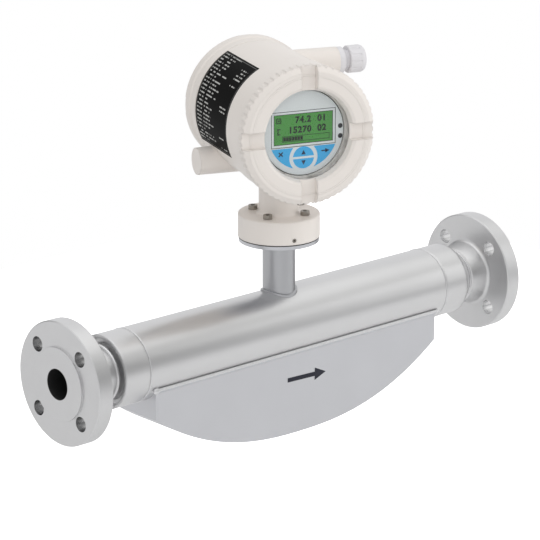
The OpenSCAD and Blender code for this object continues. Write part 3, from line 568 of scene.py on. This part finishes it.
def finish_shape(piece, angle=40):
    """Leaves edit mode, closes doubles and turns every face outwards."""
    if piece.mode != "EDIT":
        take(piece)
        bpy.ops.object.mode_set(mode="EDIT")
    bpy.ops.mesh.select_mode(type="VERT")
    bpy.ops.mesh.select_all(action="SELECT")
    bpy.ops.mesh.remove_doubles(threshold=0.002 * MM)
    bpy.ops.mesh.normals_make_consistent(inside=False)
    bpy.ops.object.mode_set(mode="OBJECT")
    take(piece)
    bpy.ops.object.shade_smooth_by_angle(angle=math.radians(angle))
    return piece


def modify(piece, kind, **settings):
    """Adds a modifier and applies it."""
    take(piece)
    modifier = piece.modifiers.new(kind.title(), kind)
    for name, value in settings.items():
        setattr(modifier, name, value)
    bpy.ops.object.modifier_apply(modifier=modifier.name)
    return piece


def lay(piece, matrix=Matrix()):
    """Puts a piece's place into its mesh, so that its object stands at the origin."""
    bpy.context.view_layer.update()
    piece.data.transform(matrix @ piece.matrix_world)
    piece.matrix_world = Matrix()
    return piece


def join(pieces, name):
    """Joins pieces into one."""
    deselect()
    for piece in pieces:
        piece.select_set(True)
    bpy.context.view_layer.objects.active = pieces[0]
    if len(pieces) > 1:
        bpy.ops.object.join()
    joined = bpy.context.object
    joined.name = joined.data.name = name
    return joined


def fit(piece, body, finish):
    """Gives a finished piece its finish and the body that carries it."""
    piece.data.materials.clear()
    piece.data.materials.append(FINISHES[finish])
    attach(piece, body)
    return piece


def rippled_ring(name, radius, half, tilt, crest, is_crest):
    """A bead of weld closed on itself, with every fourth ring of points raised by a crest."""
    segments = round(math.tau * radius / (sizes().ripple / MM)) * 4
    ring = start(
        bpy.ops.mesh.primitive_torus_add, name, major_radius=radius * MM, minor_radius=half * MM,
        major_segments=segments, minor_segments=10, rotation=(0, tilt, 0),
    )
    lay(ring)
    take(ring)
    step = math.tau / segments
    pick(ring, points=lambda point: is_crest(point, step))
    bpy.ops.transform.shrink_fatten(value=crest * MM)
    bpy.ops.object.mode_set(mode="OBJECT")
    return ring


def ring_bead(name, radius, half, centre_x):
    """A rippled weld round the pipe axis."""

    def is_crest(point, step):
        on_outside = math.hypot(point.y, point.z) > radius - half * 0.4
        return on_outside and round(math.atan2(point.y, point.z) / step) % 4 == 0

    bead = rippled_ring(name, radius, half, math.pi / 2, half * CREST, is_crest)
    finish_shape(bead, 60)
    return lay(bead, Matrix.Translation((centre_x * MM, 0, 0)))


# ---------- flat print on the display ----------

def flat_block(left, bottom, right, top):
    """A rectangle between two corners, in mm."""
    block = start(bpy.ops.mesh.primitive_plane_add, "block", size=1.0)
    block.scale = ((right - left) * MM, (top - bottom) * MM, 1)
    block.location = ((left + right) / 2 * MM, (bottom + top) / 2 * MM, 0)
    return lay(block)


def flat_frame(left, bottom, right, top, line):
    """A thin rectangular line: a block inset by the line's width, with its middle taken out."""
    block = flat_block(left, bottom, right, top)
    take(block)
    pick(block, faces=lambda centre, normal: True)
    bpy.ops.mesh.inset(thickness=line * MM)
    bpy.ops.mesh.delete(type="FACE")
    bpy.ops.object.mode_set(mode="OBJECT")
    return block


def print_on(piece, level, depth):
    """Gives a flat piece its thickness and sets it on the display, just above a level."""
    modify(piece, "SOLIDIFY", thickness=depth * MM, offset=0.0)
    finish_shape(piece, 30)
    return lay(piece, DIAL @ Matrix.Translation((0, 0, (level + depth * 0.6) * MM)))


# ---------- pieces ----------

class FLOWMETER_OT_finishes(bpy.types.Operator):
    """Makes the materials and puts one on every node of the solid model"""

    bl_idname = "flow_meter.finishes"
    bl_label = "Finishes"

    exceptions = {
        # glass_ring takes a paler finish as painted light.
        "terminal_carrier": "inner", "glass_ring": "ring", "belly_plate_front": "plate",
        # neck_tube takes a darker steel as painted shade.
        "belly_plate_rear": "plate", "belly_strip": "plate", "neck_tube": "neck",
        "casing_end_inlet": "end", "casing_end_outlet": "end", "neck_plate": "plate",
    }

    def execute(self, context):
        paint = colours()
        FINISHES.update({
            "turned": turned_steel(tuple(paint.flange)),
            "blasted": blasted_steel("blasted steel", tuple(paint.shell)),
            "end": blasted_steel("rolled steel", tuple(paint.shell), 3.2, 3.5),
            "plate": blasted_steel("plate steel", tuple(paint.plate), 1.4),
            # Painted shade: a darker copy of the blasted steel for the neck tube.
            "neck": blasted_steel("shaded neck steel", tuple(paint.neck), 2.4),
            "drawn": drawn_steel(tuple(paint.tubes)),
            "weld": weld_metal(tuple(paint.weld)),
            "plated": plated_steel(tuple(paint.plated)),
            "copper": copper_winding((0.70, 0.32, 0.12)),
            "coat": powder_coat(tuple(paint.coat)),
            "rubber": moulded("black rubber", (0.018, 0.018, 0.018), 0.75, 0.02),
            "black": moulded("black plastic", (0.022, 0.022, 0.024), 0.42),
            "label": ruled_label(tuple(paint.label), tuple(paint.dashes)),
            "board": circuit_board(),
            "terminal": moulded("terminal plastic", (0.05, 0.20, 0.09), 0.45),
            "gland": moulded(
                "gland plastic", tuple(paint.gland), 0.39, 0.012, 0.35, 2.4, GLAND_FRAME
            ),
            # Painted light: the retaining ring is paler than the cover's coat, to lift the shade it sits in behind
            # the glass.
            "ring": moulded("lightened retaining ring", (0.86, 0.82, 0.78), 0.6),
            "inner": moulded("inner plastic", (0.45, 0.45, 0.46), 0.5),
            # Painted light: the display face's colour is lifted against the shade of the recess.
            "face": glossy("lightened display face", tuple(paint.face), 0.30, 0.15),
            "screen": backlit_screen(tuple(paint.screen)),
            "keys": glossy("touch keys", tuple(paint.keys), 0.28, 0.2),
            "glass": clear_glass(),
            "arrow": moulded("arrow film", tuple(paint.arrow), 0.75),
            "ink": moulded("screen ink", (0.006, 0.018, 0.006), 0.5),
            "line": moulded("printed line", (0.03, 0.03, 0.035), 0.4),
            "mark": moulded("key mark", (0.008, 0.03, 0.08), 0.4),
        })
        by_slot = {
            "machined_stainless": "turned", "blasted_stainless": "blasted",
            "tube_stainless": "drawn", "plated_steel": "plated", "copper_coil": "copper",
            "powder_coat": "coat", "clear_glass": "glass",
            "black_rubber": "rubber", "black_plastic": "black", "black_label": "label",
            "circuit_board": "board", "terminal_plastic": "terminal", "grey_plastic": "gland",
            "display_plastic": "face", "lcd_green": "screen", "key_blue": "keys",
        }
        for part in frame["record"]["subparts"]:
            node = frame["nodes"][part["node"]]
            node.data.materials.clear()
            node.data.materials.append(FINISHES[by_slot[part["material_slot"]]])
        for name, finish in self.exceptions.items():
            frame["nodes"][name].data.materials[0] = FINISHES[finish]
        return {"FINISHED"}


class FLOWMETER_OT_flow_arrow(bpy.types.Operator):
    """Lays the flow arrow on the belly's front plate"""

    bl_idname = "flow_meter.flow_arrow"
    bl_label = "Flow arrow"

    tail_x = 250.6
    tail_z = -46.6
    slope = -2.0

    def execute(self, context):
        size = sizes()
        shaft = size.arrow_length - size.arrow_head_length
        arrow = start(bpy.ops.mesh.primitive_plane_add, "flow_arrow", size=1.0)
        arrow.scale = (shaft, size.arrow_shaft, 1.0)
        arrow.location = (shaft / 2, 0, 0)
        lay(arrow)
        take(arrow)
        pick(arrow, edges=lambda a, b: a.x > 1 and b.x > 1)
        bpy.ops.mesh.extrude_region_move(TRANSFORM_OT_translate={"value": (0, 0, 0)})
        bpy.ops.transform.resize(value=(1, size.arrow_head / size.arrow_shaft, 1))
        bpy.ops.mesh.extrude_region_move(
            TRANSFORM_OT_translate={"value": (size.arrow_head_length, 0, 0)}
        )
        bpy.ops.mesh.merge(type="CENTER")
        bpy.ops.object.mode_set(mode="OBJECT")
        modify(arrow, "SOLIDIFY", thickness=size.film, offset=1.0)
        modify(arrow, "BEVEL", width=0.05 * MM, segments=2, limit_method="ANGLE")
        finish_shape(arrow, 30)
        tail = Vector((self.tail_x, -(BELLY_FACE + 0.02), self.tail_z)) * MM
        slope = Matrix.Rotation(math.radians(-self.slope), 4, "Y")
        upright = Matrix.Rotation(math.pi / 2, 4, "X")
        lay(arrow, Matrix.Translation(tail) @ slope @ upright)
        fit(arrow, "sensor", "arrow")
        return {"FINISHED"}


class FLOWMETER_OT_weld_beads(bpy.types.Operator):
    """Runs the rippled welds round the casing and the neck and along the belly"""

    bl_idname = "flow_meter.weld_beads"
    bl_label = "Weld beads"

    def execute(self, context):
        half = sizes().bead / MM
        for end, x in (("inlet", HUB_END), ("outlet", LENGTH - HUB_END)):
            bead = ring_bead(f"hub_bead_{end}", self.hub_radius(), half * 0.55, x)
            self.weld(bead)
        for end, x in zip(("inlet", "outlet"), SEAMS):
            bead = ring_bead(f"seam_bead_{end}", CASING_R - half * 0.1, half * 0.35, x)
            self.weld(bead)
        self.neck_bead(half)
        self.plate_bead(half)
        for side in (-1, 1):
            self.belly_bead(side, half)
        return {"FINISHED"}

    def weld(self, bead):
        fit(bead, "sensor", "weld")

    def hub_radius(self):
        """Outside radius of the splitter's neck beside the flange hub."""
        near = [p for p in points_of("inlet_splitter") if p.x < (HUB_END + 1) * MM]
        return max(math.hypot(p.y, p.z) for p in near) / MM

    def neck_bead(self, half):
        """The fillet weld where the neck stands on the round casing."""
        radius = NECK_R + half * 0.1

        def is_crest(point, step):
            return round(math.atan2(point.y, point.x) / step) % 4 == 0

        bead = rippled_ring("neck_bead", radius, half * 0.7, 0, half * CREST, is_crest)
        for vertex in bead.data.vertices:
            across = radius * math.sin(math.atan2(vertex.co.y, vertex.co.x))
            vertex.co.z += (math.sqrt(CASING_R ** 2 - across ** 2) + half * 0.2) * MM
        finish_shape(bead, 60)
        lay(bead, Matrix.Translation((NECK.x, 0, 0)))
        self.weld(bead)

    def plate_bead(self, half):
        """The weld under the neck's top plate."""
        bead = ring_bead("plate_bead", NECK_R + 0.2, half * 0.7, 0)
        up = Matrix.Translation((NECK.x, 0, (PLATE_BOTTOM - half * 0.35) * MM))
        lay(bead, up @ Matrix.Rotation(math.pi / 2, 4, "Y"))
        self.weld(bead)

    def belly_bead(self, side, half):
        """The bead where a belly plate meets the casing, one down its inlet edge, and a lump."""
        plate = "belly_plate_front" if side < 0 else "belly_plate_rear"
        low, high = (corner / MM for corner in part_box(plate))
        face = side * max(abs(low.y), abs(high.y))
        edge = [p.z / MM for p in points_of(plate) if p.x < (low.x + 0.5) * MM]
        corner = Vector((low.x, face + side * half * 0.2, high.z - half * 0.25))
        far_end = Vector((high.x, corner.y, corner.z))
        foot = Vector((low.x, face - side * half * 0.2, min(edge) + half))
        name = f"belly_bead_{'front' if side < 0 else 'rear'}"
        run = self.run_bead(name, corner, far_end, half * 0.95)
        upright = self.run_bead("upright", corner, foot, half * 0.6)
        bead = join([run, upright, self.lump(corner, side, half)], name)
        take(bead)
        bpy.ops.object.shade_smooth_by_angle(angle=math.radians(60))
        self.weld(bead)

    def run_bead(self, name, begin, end, half):
        """A rippled bead along a straight line."""
        along = end - begin
        count = round(along.length * MM / sizes().ripple) * 2
        step = along.length / count
        bead = start(
            bpy.ops.mesh.primitive_circle_add, name, vertices=10, radius=half * MM, fill_type="NGON"
        )
        pick(bead, faces=lambda centre, normal: True)
        for index in range(count):
            bpy.ops.mesh.extrude_region_move(TRANSFORM_OT_translate={"value": (0, 0, step * MM)})
        pick(bead, points=lambda p: round(p.z / step) % 2 == 0)
        bpy.ops.transform.shrink_fatten(value=half * 0.1 * MM)
        finish_shape(bead, 60)
        turn = along.to_track_quat("Z", "Y").to_matrix().to_4x4()
        return lay(bead, Matrix.Translation(begin * MM) @ turn)

    def lump(self, corner, side, half):
        """The thick start of a bead at the plate's upper corner, flatter on its outside."""
        lump = start(
            bpy.ops.mesh.primitive_uv_sphere_add, "lump", segments=16, ring_count=10,
            radius=half * 2 * MM,
        )
        lump.scale = (1.25, 0.75, 1.0)
        lump.location = (corner + Vector((-half * 0.6, 0, -half * 0.3))) * MM
        lay(lump)
        take(lump)
        pick(lump, points=lambda p: p.y * side > corner.y * side + half)
        bpy.ops.transform.resize(value=(0.85, 1.0, 0.85))
        return finish_shape(lump, 60)


class FLOWMETER_OT_readout(bpy.types.Operator):
    """Sets the digits, the bar and the small marks on the screen"""

    bl_idname = "flow_meter.readout"
    bl_label = "Screen readout"

    ink_depth = 0.06
    # Text, then the right end and the foot of its row from the display's axis
    rows = (("74.2", 7.4, 9.8), ("01", 22.4, 9.8), ("15270", 7.8, 0.6), ("02", 22.4, 0.6))
    bar_corners = (-20.5, -7.4, 25.6, -2.0)
    bar_line = 0.45
    bar_cells = 7

    def execute(self, context):
        rows = [self.digits(text, right, up) for text, right, up in self.rows]
        for piece in (join(rows, "readout_digits"), self.bar(), self.marks()):
            fit(piece, "display", "ink")
        return {"FINISHED"}

    def digits(self, text, right, up):
        """A row of numbers that ends at a distance right of the axis."""
        deselect()
        bpy.ops.object.text_add()
        row = bpy.context.object
        row.data.body = text
        row.data.size = sizes().digit * 1.36
        row.data.align_x = "RIGHT"
        row.data.space_character = 1.12
        row.data.offset = 0.35 * MM
        take(row)
        bpy.ops.object.convert(target="MESH")
        row = bpy.context.object
        row.name = "readout_row"
        row.location = (right * MM, up * MM, 0)
        lay(row)
        return print_on(row, SCREEN_FRONT, self.ink_depth)

    def bar(self):
        """An outlined bar, filled with cells up to its reading."""
        left, bottom, right, top = self.bar_corners
        inset = 2 * self.bar_line
        pitch = ((right - left) * sizes().bar_share - inset) / self.bar_cells
        cell = flat_block(left + inset, bottom + inset, left + 0.55 + pitch, top - inset)
        parts = [flat_frame(*self.bar_corners, self.bar_line), cell]
        for index in range(1, self.bar_cells):
            copy = cell.copy()
            copy.data = cell.data.copy()
            bpy.context.collection.objects.link(copy)
            copy.location.x = index * pitch * MM
            parts.append(lay(copy))
        return print_on(join(parts, "readout_bar"), SCREEN_FRONT, self.ink_depth)

    def marks(self):
        """The small signs at the left of the two rows: a crossed square and a step."""
        left = SCREEN_U[0] + 4.4
        signs = [
            flat_frame(left, 10.2, left + 4.8, 15.2, 0.8),
            flat_block(left + 1.6, 11.9, left + 3.2, 13.5),
            flat_block(left + 0.6, -0.4, left + 4.2, 0.5),
            flat_block(left + 0.6, 4.4, left + 4.2, 5.3),
            flat_block(left + 1.2, 0.5, left + 2.2, 4.4),
        ]
        return print_on(join(signs, "readout_marks"), SCREEN_FRONT, self.ink_depth)


class FLOWMETER_OT_display_print(bpy.types.Operator):
    """Prints the pale edge and the lines round the screen, and the signs on the keys"""

    bl_idname = "flow_meter.display_print"
    bl_label = "Display print"

    depth = 0.08
    line_gap = 0.15
    sign_lift = 4.6
    up_down_inset = 5.4
    cross_right = -22.3
    enter_right = 20.3
    enter_head_right = 23.4

    def execute(self, context):
        edge, line = sizes().screen_edge / MM, sizes().line / MM
        # The pale edge takes the display face's finish, lightened as painted light.
        mask = print_on(self.border(-edge, edge), SCREEN_FRONT, self.depth)
        mask.name = mask.data.name = "screen_mask"
        fit(mask, "display", "face")
        inner = print_on(self.border(-edge - line, line), SCREEN_FRONT + self.depth / 2, self.depth)
        outer = print_on(self.border(self.line_gap, line), DISPLAY_FRONT, self.depth)
        fit(join([inner, outer], "screen_lines"), "display", "line")
        low, high = KEYS_V
        side = (low + high) / 2 + self.sign_lift
        signs = [
            self.arrow_head(0, high - self.up_down_inset, 90),
            self.arrow_head(0, low + self.up_down_inset, -90),
            self.stroke(self.cross_right, side, 45),
            self.stroke(self.cross_right, side, -45),
            self.stroke(self.enter_right, side, 0),
            self.arrow_head(self.enter_head_right, side, 0),
        ]
        marks = print_on(join(signs, "key_marks"), KEYS_FRONT, self.depth)
        fit(marks, "display", "mark")
        return {"FINISHED"}

    def border(self, gap, wide):
        """A flat frame round the screen: its gap to the screen's edge and its own width."""
        reach = gap + wide
        return flat_frame(
            SCREEN_U[0] - reach, SCREEN_V[0] - reach, SCREEN_U[1] + reach, SCREEN_V[1] + reach, wide
        )

    def arrow_head(self, right, up, turn):
        """A small triangle that points along its turn."""
        head = start(bpy.ops.mesh.primitive_plane_add, "key_arrow", size=4.2 * MM)
        pick(head, edges=lambda a, b: a.x > 1 and b.x > 1)
        bpy.ops.mesh.merge(type="CENTER")
        bpy.ops.object.mode_set(mode="OBJECT")
        return self.lay_turned(head, right, up, turn)

    def stroke(self, right, up, turn):
        """A short bar with rounded ends."""
        bar = start(bpy.ops.mesh.primitive_plane_add, "key_stroke", size=1.0)
        bar.scale = (5.6 * MM, 1.2 * MM, 1)
        lay(bar)
        modify(bar, "BEVEL", width=0.45 * MM, segments=3, affect="VERTICES")
        return self.lay_turned(bar, right, up, turn)

    def lay_turned(self, sign, right, up, turn):
        place = Matrix.Translation((right * MM, up * MM, 0))
        return lay(sign, place @ Matrix.Rotation(math.radians(turn), 4, "Z"))


class FLOWMETER_OT_gland_thread(bpy.types.Operator):
    """Winds the thread that shows between the gland's flange and its nut"""

    bl_idname = "flow_meter.gland_thread"
    bl_label = "Gland thread"

    tooth = 0.55
    nut_gap = 0.1

    def execute(self, context):
        size = sizes()
        nut_start = span("gland_nut", GLAND_AXIS, GLAND_POINT)[0]
        thread = start(
            bpy.ops.mesh.primitive_circle_add, "gland_thread", vertices=3,
            radius=self.tooth * MM, fill_type="NOTHING",
        )
        radius = self.neck_radius(nut_start)
        turned = Matrix.Rotation(math.pi / 2, 4, "X") @ Matrix.Rotation(-math.pi / 2, 4, "Z")
        lay(thread, Matrix.Translation((radius * MM, 0, 0)) @ turned)
        modify(
            thread, "SCREW", axis="Z", angle=math.tau, screw_offset=size.gland_pitch,
            iterations=size.thread_turns, steps=48, render_steps=48,
        )
        take(thread)
        bpy.ops.object.mode_set(mode="EDIT")
        bpy.ops.mesh.select_mode(type="EDGE")
        bpy.ops.mesh.select_all(action="DESELECT")
        bpy.ops.mesh.select_non_manifold()
        bpy.ops.mesh.fill_holes(sides=3)
        finish_shape(thread, 30)
        length = size.gland_pitch / MM * size.thread_turns
        first_turn = nut_start - length - self.tooth - self.nut_gap
        lay(thread, GLAND @ Matrix.Translation((0, 0, first_turn * MM)))
        fit(thread, "transmitter", "gland")
        return {"FINISHED"}

    def neck_radius(self, nut_start):
        """Radius of the gland's neck, taken where the nut covers it."""
        offsets = [point - GLAND_POINT for point in points_of("gland_body")]
        inside = [offset for offset in offsets if offset.dot(GLAND_AXIS) > nut_start * MM]
        return max(offset.cross(GLAND_AXIS).length for offset in inside) / MM


# ---------- stage ----------

class FLOWMETER_OT_stage(bpy.types.Operator):
    """Sets the floor, the soft lamps, the world and the camera"""

    bl_idname = "flow_meter.stage"
    bl_label = "Stage"

    middle = Vector((LENGTH / 2 * MM, 0, 0))
    floor_size = 1.9
    floor_z = -0.24
    # Name, place from the meter's middle, width, watts, and whether it lights what is matt.
    # A lamp that doesn't is seen only as a reflection.
    panels = (
        ("key_panel", Vector((-1.30, -1.35, 1.20)), 2.0, 10.5, True),
        ("fill_panel", Vector((1.55, -1.35, 0.55)), 1.8, 14.0, True),
        ("top_panel", Vector((0.1, 0.0, 2.0)), 1.8, 6.0, True),
        ("edge_panel", Vector((1.0, -0.75, 0.35)), 0.7, 1.2, False),
    )
    # Grey that metal reflects, from straight below at 0 over the horizon at 0.5 to overhead at 1
    studio_bands = (
        (0.0, (0.45, 0.45, 0.46)), (0.38, (0.45, 0.45, 0.455)), (0.495, (0.26, 0.26, 0.26)),
        (0.56, (0.14, 0.14, 0.14)), (0.62, (0.12, 0.12, 0.118)), (0.70, (0.20, 0.20, 0.198)),
        (0.77, (0.27, 0.27, 0.266)), (0.84, (0.45, 0.45, 0.445)), (0.88, (0.62, 0.62, 0.615)),
        (1.0, (0.75, 0.75, 0.75)),
    )
    studio_walls = (0.47, 0.47, 0.475)
    studio_strength = 1.9
    plain_light = (0.66, 0.66, 0.66)

    azimuth = -41.94
    elevation = 16.89
    distance = 2.830
    aim = Vector((0.250, 0.0, 0.060))
    shift = (0.00255, -0.00445)
    lens = 202.2

    def execute(self, context):
        self.floor()
        self.lamps()
        self.world()
        self.camera()
        context.scene.view_settings.view_transform = "Standard"
        return {"FINISHED"}

    def floor(self):
        """A matt pale floor that the camera sees as white."""
        floor = start(bpy.ops.mesh.primitive_plane_add, "floor", size=self.floor_size)
        floor.location = (self.middle.x, 0, self.floor_z)
        lay(floor)
        paint = Finish("floor")
        paint.tree.nodes.remove(paint.shader)
        matt = paint.wire("ShaderNodeBsdfDiffuse", {}, {"Color": (0.93, 0.93, 0.93, 1)})
        bright = paint.wire("ShaderNodeEmission", {}, {"Color": (1, 1, 1, 1), "Strength": 0.75})
        seen = Wire(paint, paint.node("ShaderNodeLightPath").outputs["Is Camera Ray"])
        both = paint.wire("ShaderNodeAddShader", {}, {0: matt, 1: bright})
        mixed = paint.wire("ShaderNodeMixShader", {}, {0: seen, 1: matt, 2: both})
        paint.feed(paint.output.inputs["Surface"], mixed)
        floor.data.materials.append(paint.material)

    def lamps(self):
        """Big soft panels from the upper left, the right and overhead, and one for reflections."""
        target = self.middle + Vector((0, 0, 0.05))
        for name, offset, size, power, lights in self.panels:
            deselect()
            bpy.ops.object.light_add(type="AREA", location=target + offset)
            lamp = bpy.context.object
            lamp.name = name
            lamp.data.size = size
            lamp.data.energy = power
            lamp.rotation_euler = (-offset).to_track_quat("-Z", "Y").to_euler()
            lamp.visible_camera = False
            lamp.visible_diffuse = lights
            lamp.visible_glossy = not lights

    def world(self):
        """White to the camera, a soft grey light, and a banded studio in reflections."""
        world = bpy.data.worlds.new("studio")
        bpy.context.scene.world = world
        world.use_nodes = True
        sky = Nodes(world.node_tree)
        rays = sky.node("ShaderNodeLightPath")
        camera, mirror, through = (
            Wire(sky, rays.outputs[f"Is {kind} Ray"])
            for kind in ("Camera", "Glossy", "Transmission")
        )
        towards = sky.wire("ShaderNodeTexCoord", output=0)
        direction = sky.node("ShaderNodeSeparateXYZ", {}, {0: towards})
        x, y, z = (Wire(sky, socket) for socket in direction.outputs)
        studio = sky.wire("ShaderNodeValToRGB", {"stops": self.studio_bands}, {0: z * 0.5 + 0.5})
        left = sky.rise(x * -1, 0.1, 0.6)
        studio = sky.blend(left * 0.75, studio, self.studio_walls)
        back_right = sky.rise(y, 0.15, 0.6) * sky.rise(x, 0.0, 0.3)
        studio = sky.blend(back_right, studio, self.studio_walls)
        seen = sky.maths("MAXIMUM", camera, through)
        colour = sky.blend(seen, sky.blend(mirror, self.plain_light, studio), (1.0, 1.0, 1.0))
        strength = 1 + mirror * (1 - seen) * (self.studio_strength - 1)
        light = sky.wire("ShaderNodeBackground", {}, {"Color": colour, "Strength": strength})
        sky.node("ShaderNodeOutputWorld", {}, {"Surface": light})

    def camera(self):
        turn, tilt = math.radians(self.azimuth), math.radians(self.elevation)
        back = Vector(
            (math.sin(turn) * math.cos(tilt), -math.cos(turn) * math.cos(tilt), math.sin(tilt))
        )
        right = UP.cross(back).normalized()
        upward = back.cross(right)
        place = self.aim + back * self.distance + right * self.shift[0] + upward * self.shift[1]
        deselect()
        bpy.ops.object.camera_add(location=place)
        camera = bpy.context.object
        camera.name = "camera"
        camera.rotation_euler = (-back).to_track_quat("-Z", "Y").to_euler()
        camera.data.sensor_width = 36.0
        camera.data.lens = self.lens
        camera.data.clip_start, camera.data.clip_end = 0.1, 50.0
        bpy.context.scene.camera = camera


# ---------- the add-on ----------

STEPS = (
    FLOWMETER_OT_finishes,
    FLOWMETER_OT_flow_arrow,
    FLOWMETER_OT_weld_beads,
    FLOWMETER_OT_readout,
    FLOWMETER_OT_display_print,
    FLOWMETER_OT_gland_thread,
    FLOWMETER_OT_stage,
)


class FLOWMETER_PT_sidebar(bpy.types.Panel):
    """Sizes, colours and steps of the flow meter"""

    bl_idname = "FLOWMETER_PT_sidebar"
    bl_label = "Flow Meter"
    bl_space_type = "VIEW_3D"
    bl_region_type = "UI"
    bl_category = "Flow Meter"

    def draw(self, context):
        layout = self.layout
        for group in (context.scene.flow_meter_sizes, context.scene.flow_meter_colours):
            box = layout.box()
            for name in group.__annotations__:
                box.prop(group, name)
        column = layout.column()
        for step in STEPS:
            column.operator(step.bl_idname)


CLASSES = (FlowMeterSizes, FlowMeterColours, *STEPS, FLOWMETER_PT_sidebar)


def register():
    for cls in CLASSES:
        bpy.utils.register_class(cls)
    bpy.types.Scene.flow_meter_sizes = PointerProperty(type=FlowMeterSizes)
    bpy.types.Scene.flow_meter_colours = PointerProperty(type=FlowMeterColours)


def unregister():
    del bpy.types.Scene.flow_meter_colours
    del bpy.types.Scene.flow_meter_sizes
    for cls in reversed(CLASSES):
        bpy.utils.unregister_class(cls)


def main():
    register()
    for step in STEPS:
        getattr(bpy.ops.flow_meter, step.bl_idname.removeprefix("flow_meter."))()


if __name__ == "__main__":
    main()
